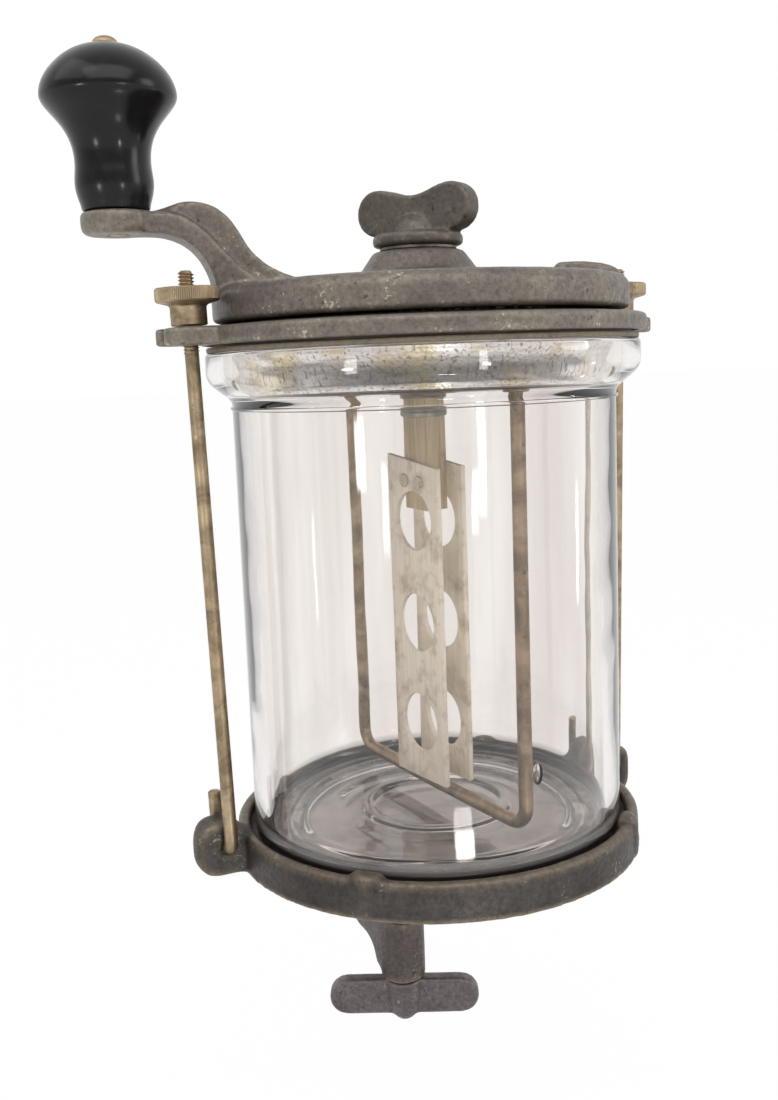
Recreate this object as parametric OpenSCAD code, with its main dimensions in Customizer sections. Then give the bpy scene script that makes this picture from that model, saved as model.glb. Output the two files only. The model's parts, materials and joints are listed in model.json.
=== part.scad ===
// Glass jar butter churn with a crank wheel, swing rods and a table clamp.
// Millimetres, +Z up. The origin is the centre of the base's underside, where it sits on a table.
// The rods stand on the X axis, the clamp and the idler gears on the Y axis.

/* [Jar] */
// Outside diameter of the jar's body
jar_d = 116; // [104:1:128]
// Thickness of the jar's side wall
jar_wall = 4.2; // [3:0.1:5.5]
// Thickness of the jar's floor near its wall
jar_floor = 6.5; // [4:0.5:10]
// Height of the jar from its foot to the top of its lip
jar_h = 152; // [130:0.5:180]
// How far the lip stands out from the body
lip_out = 7.3; // [5:0.1:9]
// Height of the straight band of the lip
lip_h = 6; // [3:0.5:8]
// Height of the flared shoulder under the lip
flare_h = 9.5; // [8:0.5:16]

/* [Base] */
// Thickness of the base's floor
base_floor = 4; // [3:0.5:7]
// Thickness of the base's rim
base_rim_w = 4.7; // [3:0.1:7]
// Height of the base's rim
base_rim_h = 12; // [9:0.5:16]
// Gap between the jar and the base's rim
jar_gap = 1.5; // [0.8:0.1:3]
// Height of the four lugs that centre the jar
lug_h = 13.2; // [12:0.2:20]
// Radius of each lug
lug_r = 5; // [4:0.5:7]
// Thickness of each base ear
ear_w = 10; // [8:0.5:16]
// Height of each base ear
ear_h = 17; // [14:0.5:22]
// How far each base ear stands out from the rim
ear_out = 14; // [10:0.5:18]

/* [Table clamp] */
// Height of the jaw, from the base's underside to the lower arm
jaw_h = 40; // [34:1:60]
// Thickness of the lower arm
arm_t = 12; // [8:1:18]
// Width of the clamp's arm
arm_w = 16; // [12:1:24]
// Thickness of the clamp's upright
spine_t = 9; // [7:0.5:14]
// Distance from the screw's axis to the upright
throat = 23.6; // [18:0.2:26]
// Diameter of the screw's boss
boss_d = 15.6; // [13:0.2:20]
// How far the boss hangs below the arm
boss_drop = 11; // [6:0.1:20]
// Diameter of the clamp screw
screw_d = 9.4; // [7:0.2:11]
// Gap over the pad with the screw right up
jaw_min = 10; // [6:0.5:14]
// Diameter of the pad
pad_d = 22; // [16:0.5:26]
// Span of the clamp's wing
clamp_wing_span = 53; // [40:1:60]
// Height of the clamp's wing
clamp_wing_h = 13.5; // [10:0.5:18]
// Thickness of the clamp's wing
clamp_wing_t = 5.5; // [4:0.5:8]
// Direction of the clamp's wing
clamp_wing_turn = -26; // [-90:1:90]

/* [Lid] */
// Thickness of the lid plate
lid_t = 5.2; // [4:0.2:8]
// How far the lid plate stands out from the lip
lid_over = 1.7; // [1:0.1:4]
// Thickness of the gasket
gasket_t = 1.5; // [1:0.1:3]
// Thickness of the tin sheet
tin_t = 0.6; // [0.4:0.1:1]
// Depth of the splash pan below the lid
pan_depth = 13.5; // [9:0.5:16]
// Radius of the splash pan's lower corner
pan_bend = 2.6; // [1.5:0.1:5]
// Width of each forked ear on the lid
fork_w = 18; // [15:0.5:24]
// How far a fork reaches beyond the rod
fork_reach = 8.6; // [7:0.1:14]
// Height of the curb on the lid, under the wheel's rim
curb_h = 0.7; // [0.4:0.1:0.7]

/* [Rods and finger nuts] */
// Diameter of a swing rod
rod_d = 4; // [3.4:0.1:5]
// Distance of a rod's pivot from the rim
pivot_out = 4.4; // [3:0.1:6]
// Height of a rod's pivot
pivot_z = 9; // [6:0.5:10]
// Diameter of a rod's threaded end
rod_thread_d = 4.6; // [4:0.1:5]
// Length of the hook's turned-up tail
tail_l = 14; // [8:0.5:18]
// Diameter of a finger nut's knurled flange
nut_d = 18; // [15:0.2:20]
// Height of a finger nut's knurled flange
nut_flange_h = 4; // [2.5:0.1:6]
// Diameter of a finger nut's hub
nut_hub_d = 10.8; // [9:0.2:14]
// Height of a finger nut's hub
nut_hub_h = 6.5; // [6:0.1:12]
// Number of ridges of the knurl
knurl_count = 36; // [24:2:48]
// Depth of the knurl
knurl_depth = 0.4; // [0.2:0.1:0.7]
// Length of rod that stands out of the nut
rod_spare = 4.5; // [3:0.5:7]

/* [Crank wheel] */
// How far the wheel's rim stands in from the lid's edge
wheel_inset = 4.7; // [3.5:0.1:7]
// Gap between the lid and the wheel's rim
wheel_gap = 1.3; // [1:0.1:2]
// Height of the wheel's rim
wheel_rim_h = 9.9; // [9.5:0.1:12]
// Radius of the rounded top edge of the rim
wheel_round = 4; // [2:0.5:5]
// Rise of the wheel's top from its rim to the hub
wheel_crown = 3.2; // [2:0.1:5]
// Height of the counterweight above the rim
weight_h = 4.2; // [2:0.2:6]
// Angle that the counterweight takes
weight_span = 56; // [30:1:90]
// Wall left outside the ring of teeth
rim_wall = 9.5; // [7:0.1:14]
// Radius of the hub's foot
hub_foot_r = 18; // [16:0.5:24]
// Radius of the hub's top
hub_top_r = 14; // [12:0.2:15]
// Height of the hub above the wheel's top
hub_h = 6.4; // [6:0.1:16]
// Distance from the wheel's axis to the knob's axis
crank_r = 87.8; // [84:0.5:110]
// Height of the arm's boss above the wheel's top
boss_lift = 11.9; // [10:0.1:18]
// Thickness of the arm's boss
crank_boss_t = 6.4; // [5:0.1:9]
// Radius of the arm's boss
crank_boss_r = 10.2; // [9:0.1:14]
// Width of the arm
crank_w = 13.5; // [12:0.5:20]
// Width of the rib on the arm
rib_w = 7; // [4:0.5:8]
// Direction of the arm
crank_turn = 170; // [0:1:359]

/* [Knob] */
// Largest diameter of the knob
knob_d = 37.6; // [32:0.2:46]
// Diameter of the knob's neck
knob_neck_d = 21.4; // [18:0.2:26]
// Height of the knob
knob_h = 44.4; // [38:0.2:52]
// Diameter of the rivet
rivet_d = 5.2; // [4:0.1:6]
// Diameter of the rivet's head
rivet_head_d = 7; // [6.4:0.2:10]

/* [Wing nut and post] */
// Diameter of the post's bearing
post_d = 14; // [11:0.2:14.6]
// Diameter of the post's threaded end
post_thread_d = 9.4; // [7:0.2:10]
// Diameter of the wing nut's flange
wing_flange_d = 27.2; // [24:0.2:32]
// Height of the wing nut's flange
wing_flange_h = 3.8; // [2:0.2:5]
// Height of the wings above the flange
wing_h = 13.8; // [12:0.2:20]
// Span of the wings
wing_span = 39.6; // [32:0.5:46]
// Thickness of the wings
wing_t = 7; // [5:0.5:10]
// Direction of the wings
wing_turn = -59; // [-90:1:90]

/* [Gears] */
// Teeth of the pinion on the dasher's shaft
sun_teeth = 16; // [16:2:20]
// Teeth of each idler
idler_teeth = 24; // [22:2:26]
// Width of the gears
gear_face = 5.4; // [4.6:0.2:6]
// Gap between the lid and the gears
gear_gap = 0.7; // [0.7:0.1:1.2]
// Backlash cut from each gear
backlash = 0.12; // [0.08:0.01:0.2]
// Diameter of an idler's stud
stud_d = 8; // [6:0.2:10]
// Thickness of the bridge over the gears
bridge_t = 2.6; // [2:0.2:5]
// Width of the bridge
bridge_w = 18; // [14:0.5:24]

/* [Dasher and wire] */
// Diameter of the dasher's shaft
shaft_d = 9; // [7:0.2:10]
// Outside diameter of the bush below the pan
bush_d = 14.3; // [12.6:0.1:18]
// Length of the bush below the pan
bush_l = 5.5; // [3:0.5:9]
// Height of the ferrule
ferrule_h = 6.5; // [4:0.2:9]
// Length of the paddle stock
stock_l = 28; // [22:0.5:36]
// Thickness of the paddle stock
stock_t = 7.8; // [7:0.2:11]
// Width of the paddle stock
stock_w = 11; // [10:0.5:16]
// Width of a slat
slat_w = 25.6; // [22:0.5:32]
// Thickness of a slat
slat_t = 1.5; // [1:0.1:2.5]
// Length of stock that shows above a slat
slat_drop = 13.3; // [8:0.5:16]
// Slope of a slat's top edge across its width
slat_slope = 2.7; // [0:0.1:4]
// Diameter of the holes in a slat
slat_hole_d = 18; // [12:0.5:20]
// Distance between the holes in a slat
slat_pitch = 31.4; // [24:0.2:34]
// Direction of the slats
dasher_turn = 100; // [0:1:359]
// Diameter of the wire
wire_d = 4; // [3:0.1:5]
// Room between the wire's nuts and the corner of the splash pan
wire_room = 0.5; // [0.3:0.1:10]
// Height of the wire's bottom bar over the jar's floor
wire_lift = 7.6; // [5.5:0.1:14]
// Radius of the wire's bends
wire_bend = 6; // [4:0.5:12]
// Direction of the wire frame
wire_turn = 97; // [75:1:105]

/* [Hidden] */
$fn = 72;

// Clearances: pieces that turn on each other, faces that pass each other, cuts that run past a face
run_gap = 0.06;
face_gap = 0.3;
past = 1;

// Finishes
iron = "#6f675f";
dark_iron = "#5a524b";
brass = "#9c8764";
tin = "#b8b2a2";
steel = "#8b8880";
glass = [0.86, 0.87, 0.88, 0.35];
enamel = "#1c1c20";
wood = "#8f7b52";
pale_wood = "#cfc8b0";
cork = "#a98f6b";

// Jar, from its foot up
jar_r = jar_d / 2;
jar_in = jar_r - jar_wall;
jar_z = base_floor;
jar_top = jar_z + jar_h;
lip_r = jar_r + lip_out;
flare_z = jar_top - lip_h - flare_h;
floor_z = jar_z + jar_floor;
foot_round = 5;
punt = 1.5;
step_h = 0.8;
seam_h = 0.6;

// Base
rim_in = jar_r + jar_gap;
base_r = rim_in + base_rim_w;
foot_line = 0.6;
ear_tip = base_r + ear_out;
pivot_r = base_r + pivot_out;
ear_gap = 0.4;
ear_face = rod_d / 2 + ear_gap;
lug_gap = 0.7;
lug_proud = 0.3;

// Lid stack, from the lip up
gasket_top = jar_top + gasket_t;
lid_z = gasket_top + tin_t;
lid_top = lid_z + lid_t;
lid_r = lip_r + lid_over;
pan_z = lid_z - pan_depth;
pan_gap = 1.2;
pan_r = jar_in - pan_gap;
gear_z = lid_top + gear_gap;
gear_top = gear_z + gear_face;
bridge_gap = 0.4;
bridge_z = gear_top + bridge_gap;
bridge_top = bridge_z + bridge_t;
post_collar_h = 0.3;
ceiling_z = bridge_top + post_collar_h + face_gap;
wheel_z = lid_top + wheel_gap;
rim_top = wheel_z + wheel_rim_h;
wheel_top = rim_top + wheel_crown;
hub_top = wheel_top + hub_h;
post_shoulder = hub_top + face_gap;
washer_t = 0.7;
wing_gap = 0.2;
wing_z = post_shoulder + washer_t + wing_gap;
wing_grip = 3.4;
post_top = wing_z + wing_flange_h + wing_grip;

// Crank wheel
wheel_r = lid_r - wheel_inset;
boss_top = wheel_top + boss_lift + crank_boss_t;
boss_low = wheel_top + boss_lift;

// Gears: the ring's spaces reach out to the wall that is left in the rim
addendum = 0.8;
dedendum = 1;
pressure = 20;
ring_teeth = sun_teeth + 2 * idler_teeth;
gear_m = (wheel_r - rim_wall) / (ring_teeth / 2 + dedendum);
stud_r = gear_m * (sun_teeth + idler_teeth) / 2;
ring_tip_r = gear_m * (ring_teeth / 2 - addendum);
tooth_top = gear_top + 1;
stud_step = 2;
stud_tenon_d = stud_d - stud_step;

// Rods: the nut clears the wheel's rim, and that sets how far a rod leans
nut_clear = 0.5;
nut_r = nut_d / 2;
seat_z = lid_top;
rod_top_r = wheel_r + nut_clear + nut_r;
nut_level = seat_z + nut_hub_h + nut_flange_h / 2;
rod_lean = atan((rod_top_r - pivot_r) / (nut_level - pivot_z));
seat_r = norm([seat_z - pivot_z, (seat_z - pivot_z) * tan(rod_lean)]);
nut_seat = seat_r + face_gap;
rod_l = nut_seat + nut_hub_h + nut_flange_h + rod_spare;
fork_x = pivot_r + (lid_z - pivot_z) * tan(rod_lean);
fork_tip = fork_x + fork_reach;
fork_slack = 0.4;
fork_slot_w = rod_thread_d + 3 * fork_slack;
hook_y = ear_face + ear_w + ear_gap + rod_d / 2;

// Clamp
spine_step = 0.5;
spine_out = base_r - spine_step;
spine_in = spine_out - spine_t;
screw_y = spine_in - throat;
boss_bottom = -jaw_h - arm_t - boss_drop;
clamp_wing_z = boss_bottom - face_gap;
pad_z = -jaw_min;
pad_t = 4;
socket_d = 13;
socket_h = 4;
tenon_d = 6;
tenon_l = 4.6;
pad_low = pad_z - pad_t - socket_h;
clamp_hub_d = 13.6;
clamp_hub_h = 16.2;
screw_grip = 10;

// Dasher and wire
bush_flange_t = 1.5;
bush_flange_out = 3;
bush_step = 1.3;
bush_neck_d = bush_d - bush_step;
bush_low = pan_z - bush_l;
ferrule_z = bush_low - face_gap - ferrule_h;
stock_z = ferrule_z - stock_l;
wire_z = floor_z + wire_lift;
slat_clear = 0.6;
slat_low = wire_z + wire_d / 2 + slat_clear;
slat_high = ferrule_z - slat_drop;
hole_drop = 18;
hole_high = slat_high - hole_drop;
tang_d = 5;
tang_end = 4;
rivet_hole_d = 1.8;
rivet_x = (tang_d + rivet_hole_d) / 2 + face_gap;
rivet_drop = 6;
rivet_z = slat_high - rivet_drop;
wire_nut_h = 3;
wire_nut_half = wire_d * cos(30);
wire_r = pan_r - pan_bend - wire_nut_half - wire_room;
wire_end = 1;
wire_top = pan_z + tin_t + wire_nut_h + wire_end;

// Points of an arc about c
function arc(c, r, a0, a1, n = 8) =
  [for (i = [0:n]) let (a = a0 + (a1 - a0) * i / n) c + r * [cos(a), sin(a)]];

// Points of a cubic curve with four control points
function curve(p, n = 10) =
  [for (i = [0:n]) let (t = i / n, u = 1 - t)
    u * u * u * p[0] + 3 * u * u * t * p[1] + 3 * u * t * t * p[2] + t * t * t * p[3]];

// Plan of a tongue with rounded outer corners, from x0 to x1
function tongue(x0, x1, half, r) = concat(
  [[x0, -half]],
  arc([x1 - r, -half + r], r, -90, 0),
  arc([x1 - r, half - r], r, 0, 90),
  [[x0, half]]
);

// Involute of an angle, in degrees
function involute(a) = tan(a) * 180 / PI - a;

// Half the angle that a tooth takes at radius r
function tooth_half(r, rp, n, slack) =
  90 / n - slack / (2 * rp) * 180 / PI + involute(pressure)
  - involute(acos(min(1, rp * cos(pressure) / r)));

// Outline of a spur gear with a tooth on +X
function gear(n, add, ded, slack, flanks = 3) =
  let (
    rp = gear_m * n / 2,
    root = rp - ded * gear_m,
    tip = rp + add * gear_m,
    start = max(root, rp * cos(pressure)),
    radii = concat(root < start ? [root] : [], [for (k = [0:flanks]) start + (tip - start) * k / flanks]),
    last = len(radii) - 1
  )
  [for (i = [0:n - 1], s = [-1, 1], k = [0:last])
    let (
      r = radii[s < 0 ? k : last - k],
      a = 360 * i / n + s * tooth_half(max(r, start), rp, n, slack)
    )
    r * [cos(a), sin(a)]];

// Turn of a gear that meshes at its side away from the sun or towards it
idler_step = 360 / idler_teeth;
function idler_turn(at) = at + 180 + idler_step * (at * sun_teeth / 360 + 0.5);
ring_turn = 90 - 360 / ring_teeth * (90 - idler_turn(90)) / idler_step;

// A ring or tube standing on z
module tube(r_out, r_in, h, z) {
  translate([0, 0, z])
    difference() {
      cylinder(r = r_out, h = h);
      translate([0, 0, -past]) cylinder(r = r_in, h = h + 2 * past);
    }
}

// Puts what is drawn in a rod's own frame on the right rod
module on_right_rod() {
  translate([pivot_r, 0, pivot_z]) rotate([0, rod_lean, 0]) children();
}

// Mirrors the right side's pieces to the left
module on_left() { mirror([1, 0, 0]) children(); }

// The right base ear: a lug behind the rod, with the hook's hole through it
module base_ear() {
  low_round = 6;
  top_round = 7;
  edge = 4;
  side = concat(
    [[rim_in + past, 0]],
    arc([ear_tip - low_round, low_round], low_round, -90, 0),
    arc([ear_tip - top_round, ear_h - top_round], top_round, 0, 90),
    [[pivot_r - rod_d / 2, ear_h], [rim_in + past, base_rim_h - past]]
  );
  difference() {
    intersection() {
      translate([0, ear_face + ear_w / 2, 0])
        linear_extrude(ear_h) polygon(tongue(rim_in + past, ear_tip, ear_w / 2, edge));
      translate([0, hook_y, 0]) rotate([90, 0, 0]) linear_extrude(hook_y) polygon(side);
    }
    translate([pivot_r, 0, pivot_z])
      rotate([-90, 0, 0])
        cylinder(d = rod_d + 2 * run_gap, h = hook_y);
  }
}

// One lug that centres the jar: a low boss on the rim with a round top
module jar_lug() {
  edge = 2;
  difference() {
    translate([base_r - lug_r + lug_proud, 0, 0])
      rotate_extrude()
        polygon(concat([[0, 0], [lug_r, 0]], arc([lug_r - edge, lug_h - edge], edge, 0, 90), [[0, lug_h]]));
    translate([0, 0, base_floor]) cylinder(r = jar_r + lug_gap, h = lug_h);
    translate([0, 0, -past]) cylinder(r = rim_in, h = base_floor + past);
  }
}

// C-shaped clamp arm under the base, open towards -Y
module clamp_arm() {
  low = -jaw_h - arm_t;
  corner = 12;
  fillet = 6;
  sweep_low = low - boss_drop * 0.7;
  sweep_in = screw_y + boss_d / 2;
  side = concat(
    [[spine_out, base_floor / 2]],
    arc([spine_out - corner, low + corner], corner, 0, -90),
    curve([[spine_out - corner, low], [screw_y + boss_d, low], [sweep_in, low], [sweep_in - past, sweep_low]]),
    [[screw_y, sweep_low], [screw_y, -jaw_h]],
    arc([spine_in - fillet, -jaw_h + fillet], fillet, -90, 0),
    [[spine_in, base_floor / 2]]
  );
  difference() {
    union() {
      rotate([90, 0, 90]) linear_extrude(arm_w, center = true) polygon(side);
      translate([0, screw_y, boss_bottom]) cylinder(d = boss_d, h = -jaw_h - boss_bottom);
    }
    translate([0, screw_y, boss_bottom - past])
      cylinder(d = screw_d + 2 * run_gap, h = -boss_bottom);
  }
}

module base_casting() {
  crest = (base_rim_w - foot_line) / 2;
  profile = concat(
    [[0, 0], [base_r, 0], [base_r, 2 * foot_line], [base_r - foot_line, 3 * foot_line]],
    arc([rim_in + crest, base_rim_h - crest], crest, 0, 180),
    [[rim_in, base_floor], [0, base_floor]]
  );
  color(dark_iron) {
    rotate_extrude() polygon(profile);
    base_ear();
    on_left() base_ear();
    for (a = [45:90:315]) rotate([0, 0, a]) jar_lug();
    clamp_arm();
  }
}

module clamp_screw() {
  color(steel)
    translate([0, screw_y, 0]) {
      translate([0, 0, clamp_wing_z - screw_grip])
        cylinder(d = screw_d, h = pad_low - face_gap - clamp_wing_z + screw_grip);
      translate([0, 0, pad_low - face_gap - past]) cylinder(d = tenon_d, h = tenon_l + past);
    }
}

module clamp_wing() {
  wing_low = clamp_wing_z - clamp_wing_h;
  wing_drop = 0.2;
  hub_low = clamp_wing_z - clamp_hub_h;
  hub_bend = 2;
  round_r = clamp_wing_h / 2 - wing_drop;
  plan = concat(
    arc([clamp_wing_span / 2 - round_r, wing_low + clamp_wing_h / 2], round_r, -90, 90),
    arc([-clamp_wing_span / 2 + round_r, wing_low + clamp_wing_h / 2], round_r, 90, 270)
  );
  color(dark_iron)
    translate([0, screw_y, 0])
      difference() {
        union() {
          rotate([0, 0, clamp_wing_turn])
            rotate([90, 0, 0])
              linear_extrude(clamp_wing_t, center = true) polygon(plan);
          rotate_extrude()
            polygon(concat([[0, clamp_wing_z]],
              curve([[clamp_hub_d / 2, clamp_wing_z], [clamp_hub_d / 2, wing_low - hub_bend],
                     [hub_bend, hub_low], [0, hub_low]])));
        }
        translate([0, 0, clamp_wing_z - screw_grip]) cylinder(d = screw_d, h = clamp_hub_h);
      }
}

module clamp_pad() {
  edge = 0.6;
  color(dark_iron)
    translate([0, screw_y, 0])
      difference() {
        rotate_extrude()
          polygon([[0, pad_z], [pad_d / 2 - edge, pad_z], [pad_d / 2, pad_z - edge],
                   [pad_d / 2, pad_z - pad_t + past], [socket_d / 2, pad_z - pad_t],
                   [socket_d / 2, pad_low], [0, pad_low]]);
        translate([0, 0, pad_low - past])
          cylinder(d = tenon_d + 2 * run_gap, h = tenon_l + past);
      }
}

module jar() {
  in_lip = lip_r - jar_wall;
  in_flare = flare_z - jar_wall / 4;
  in_round = 7;
  in_step = 2;
  ring_w = 14;
  ring_a = jar_in - in_round - in_step;
  ring_b = ring_a - ring_w;
  punt_r = jar_r - 3 * foot_round;
  foot_in = 2;
  bow = 0.4;
  outer = concat(
    [[0, jar_z + punt], [punt_r, jar_z + punt], [punt_r + foot_in, jar_z]],
    arc([jar_r - foot_round, jar_z + foot_round], foot_round, -90, 0),
    [[jar_r, flare_z - 2 * seam_h], [jar_r + seam_h, flare_z - seam_h], [jar_r, flare_z]],
    curve([[jar_r, flare_z], [jar_r + bow, flare_z + flare_h * 0.35],
           [lip_r, flare_z + flare_h * 0.5], [lip_r, flare_z + flare_h]])
  );
  inner = concat(
    [[lip_r - past, jar_top], [in_lip, jar_top]],
    curve([[in_lip, flare_z + flare_h], [in_lip, flare_z + flare_h * 0.5],
           [jar_in + bow, in_flare + flare_h * 0.35], [jar_in, in_flare]]),
    arc([jar_in - in_round, floor_z + in_round], in_round, 0, -90),
    [[ring_a, floor_z + step_h], [ring_b + step_h, floor_z + step_h],
     [ring_b, floor_z + 2 * step_h], [0, floor_z + 2.5 * step_h]]
  );
  color(glass)
    rotate_extrude()
      polygon(concat(outer, [[lip_r, jar_top - past]], inner));
}

module lip_gasket() {
  inset = 0.5;
  color(cork) tube(lip_r - inset, lip_r - jar_wall + face_gap, gasket_t, jar_top);
}

// The pan's sheet, as one closed outline from the axis to its rim
module splash_pan() {
  neck_gap = 1.4;
  neck_r = lip_r - jar_wall - neck_gap;
  rim_r = lip_r - face_gap;
  flare_out = 2;
  straight = 3;
  bend_end = -25;
  bend_steps = 6;
  waist_z = pan_z + pan_depth * 0.6;
  under = concat(
    [[0, pan_z]],
    arc([pan_r - pan_bend, pan_z + pan_bend], pan_bend, -90, bend_end, bend_steps),
    curve([[pan_r, pan_z + pan_bend], [neck_r - flare_out, waist_z],
           [neck_r, gasket_top - straight], [neck_r, gasket_top]]),
    [[rim_r, gasket_top]]
  );
  over = concat(
    [[rim_r, lid_z]],
    curve([[neck_r - tin_t, lid_z], [neck_r - tin_t, lid_z - straight],
           [neck_r - flare_out - tin_t, waist_z + tin_t], [pan_r - tin_t, pan_z + pan_bend + tin_t]]),
    arc([pan_r - pan_bend, pan_z + pan_bend], pan_bend - tin_t, bend_end, -90, bend_steps),
    [[0, pan_z + tin_t]]
  );
  color(tin)
    difference() {
      rotate_extrude() polygon(concat(under, over));
      translate([0, 0, pan_z - past]) cylinder(d = bush_neck_d, h = pan_depth);
      for (side = [0, 180])
        rotate([0, 0, wire_turn + side])
          translate([wire_r, 0, pan_z - past])
            cylinder(d = wire_d, h = pan_depth / 2);
    }
}

// One forked ear on +X. Its top follows the nut's swing about the rod's pivot
module lid_ear() {
  slot_at = fork_x - rod_thread_d / 2 - fork_slack + fork_slot_w / 2;
  root = 10;
  corner = 4;
  difference() {
    intersection() {
      translate([0, 0, lid_z])
        linear_extrude(lid_t)
          polygon(tongue(lid_r - root, fork_tip, fork_w / 2, corner));
      translate([pivot_r, 0, pivot_z])
        rotate([90, 0, 0])
          cylinder(r = seat_r, h = fork_w + 2 * past, center = true);
    }
    translate([slot_at, 0, lid_z - past]) cylinder(d = fork_slot_w, h = lid_t + 2 * past);
    translate([slot_at, -fork_slot_w / 2, lid_z - past])
      cube([fork_reach * 2, fork_slot_w, lid_t + 2 * past]);
  }
}

module lid_plate() {
  edge = 0.8;
  curb_inset = 2.8;
  curb_gap = 2;
  curb_out = wheel_r - curb_inset;
  curb_in = wheel_r - rim_wall + curb_gap;
  color(iron) {
    difference() {
      rotate_extrude()
        polygon([[0, lid_z], [lid_r - edge, lid_z], [lid_r, lid_z + edge], [lid_r, lid_top - edge],
                 [lid_r - edge, lid_top], [0, lid_top]]);
      translate([0, 0, lid_z - past]) cylinder(d = bush_neck_d, h = lid_t + 2 * past);
      for (y = [-1, 1])
        translate([0, y * stud_r, lid_z - past]) cylinder(d = stud_tenon_d, h = lid_t + 2 * past);
    }
    tube(curb_out, curb_in, curb_h, lid_top);
    lid_ear();
    on_left() lid_ear();
  }
}

// The right rod with its hook through the base ear and its turned-up tail
module swing_rod() {
  on_right_rod() {
    cylinder(d = rod_d, h = nut_seat);
    translate([0, 0, nut_seat - past]) cylinder(d = rod_thread_d, h = rod_l - nut_seat + past);
    sphere(d = rod_d);
    rotate([-90, 0, 0]) cylinder(d = rod_d, h = hook_y);
    translate([0, hook_y, 0]) {
      sphere(d = rod_d);
      cylinder(d = rod_d, h = tail_l);
    }
  }
}

module rod_left() { color(brass) on_left() swing_rod(); }
module rod_right() { color(brass) swing_rod(); }

// The right finger nut, with a ridged flange over a plain hub
module finger_nut() {
  neck = 1.6;
  taper = 0.5;
  under = 0.8;
  ridges = [for (i = [0:2 * knurl_count - 1])
    let (r = nut_r - (i % 2) * knurl_depth, a = 180 * i / knurl_count) r * [cos(a), sin(a)]];
  on_right_rod()
    translate([0, 0, nut_seat])
      difference() {
        union() {
          rotate_extrude()
            polygon([[0, 0], [nut_hub_d / 2, 0], [nut_hub_d / 2 - taper, nut_hub_h - neck],
                     [nut_r - knurl_depth - under, nut_hub_h], [0, nut_hub_h]]);
          translate([0, 0, nut_hub_h]) linear_extrude(nut_flange_h) polygon(ridges);
        }
        translate([0, 0, -past])
          cylinder(d = rod_thread_d + 2 * run_gap, h = nut_hub_h + nut_flange_h + 2 * past);
      }
}

module nut_left() { color(brass) on_left() finger_nut(); }
module nut_right() { color(brass) finger_nut(); }

// The swan-neck arm, lying on +X: a wide strap below, a rib on it, and the boss for the knob
module crank_arm() {
  edge = 2;
  lip = 0.6;
  boss_in = crank_r - crank_boss_r + edge;
  root = wheel_top - past;
  skirt = rim_top - wheel_round;
  strap_in = wheel_r - 13;
  strap_bend = [wheel_r + 3.5, boss_top - 4.5];
  strap_top = boss_top - lip;
  rib_in = wheel_r - 26;
  rib_rise = [wheel_r - 9.3, (wheel_top + boss_top) / 2 + 1.6];
  rib_crest = [wheel_r + 4.7, boss_top + 2.7];
  spread = 0.8 * crank_w;
  wide = crank_w / 2 + 1;
  slim = crank_w / 2 - 0.5;
  under = concat(
    [[crank_r, boss_low]],
    curve([[boss_in, boss_low], [wheel_r + 8.2, boss_low], [wheel_r + 2.5, boss_low - 4],
           [wheel_r - face_gap, root]]),
    [[wheel_r - face_gap, skirt], [strap_in, skirt]]
  );
  strap = concat(
    curve([[strap_in, root], [wheel_r - 6, root + 2], [wheel_r - 2.5, boss_top - 9], strap_bend]),
    curve([strap_bend, strap_bend + [4, 3.3], [boss_in - 7, strap_top], [boss_in, strap_top]]),
    [[crank_r, strap_top]]
  );
  rib = concat(
    curve([[rib_in, root], [rib_in + 7.2, root + 1.8], [rib_rise[0] - 3.4, root + 5], rib_rise]),
    curve([rib_rise, [rib_rise[0] + 2.6, boss_top - 2.7], rib_crest - [8.4, 0.4], rib_crest]),
    curve([rib_crest, rib_crest + [4.5, 0.2], [boss_in - 5.6, boss_top + lip / 2],
           [boss_in, boss_top - lip / 2]])
  );
  plan = [[strap_in - past, -spread], [wheel_r, -wide], [crank_r, -slim],
          [crank_r, slim], [wheel_r, wide], [strap_in - past, spread]];
  intersection() {
    rotate([90, 0, 0]) linear_extrude(2 * crank_w, center = true) polygon(concat(under, strap));
    linear_extrude(2 * boss_top) polygon(plan);
  }
  rotate([90, 0, 0])
    linear_extrude(rib_w, center = true)
      polygon(concat([[boss_in, boss_low + 1], [wheel_r + 8, boss_low], [wheel_r + 1, boss_low - 8],
                      [wheel_r - 4, skirt]], rib));
  translate([crank_r, 0, 0])
    rotate_extrude()
      polygon(concat([[0, boss_low]],
        arc([crank_boss_r - edge, boss_low + edge], edge, -90, 0, 6),
        [[crank_boss_r, boss_top - lip], [crank_boss_r - lip, boss_top], [0, boss_top]]));
}

// The counterweight, a rounded pad on the wheel's top about +X
module counterweight() {
  weight_w = 19.5;
  out_r = wheel_r - 2.5;
  in_r = out_r - weight_w;
  top = rim_top + weight_h;
  sunk = rim_top - 1.5;
  edge = 2;
  profile = concat(
    [[in_r, sunk], [out_r, sunk]],
    curve([[out_r, rim_top], [out_r - past, rim_top + weight_h * 0.6], [out_r - weight_w * 0.3, top],
           [in_r + 2 * edge, top]]),
    arc([in_r + edge, top - edge], edge, 90, 180, 6)
  );
  rotate([0, 0, -weight_span / 2]) rotate_extrude(angle = weight_span) polygon(profile);
}

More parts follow.
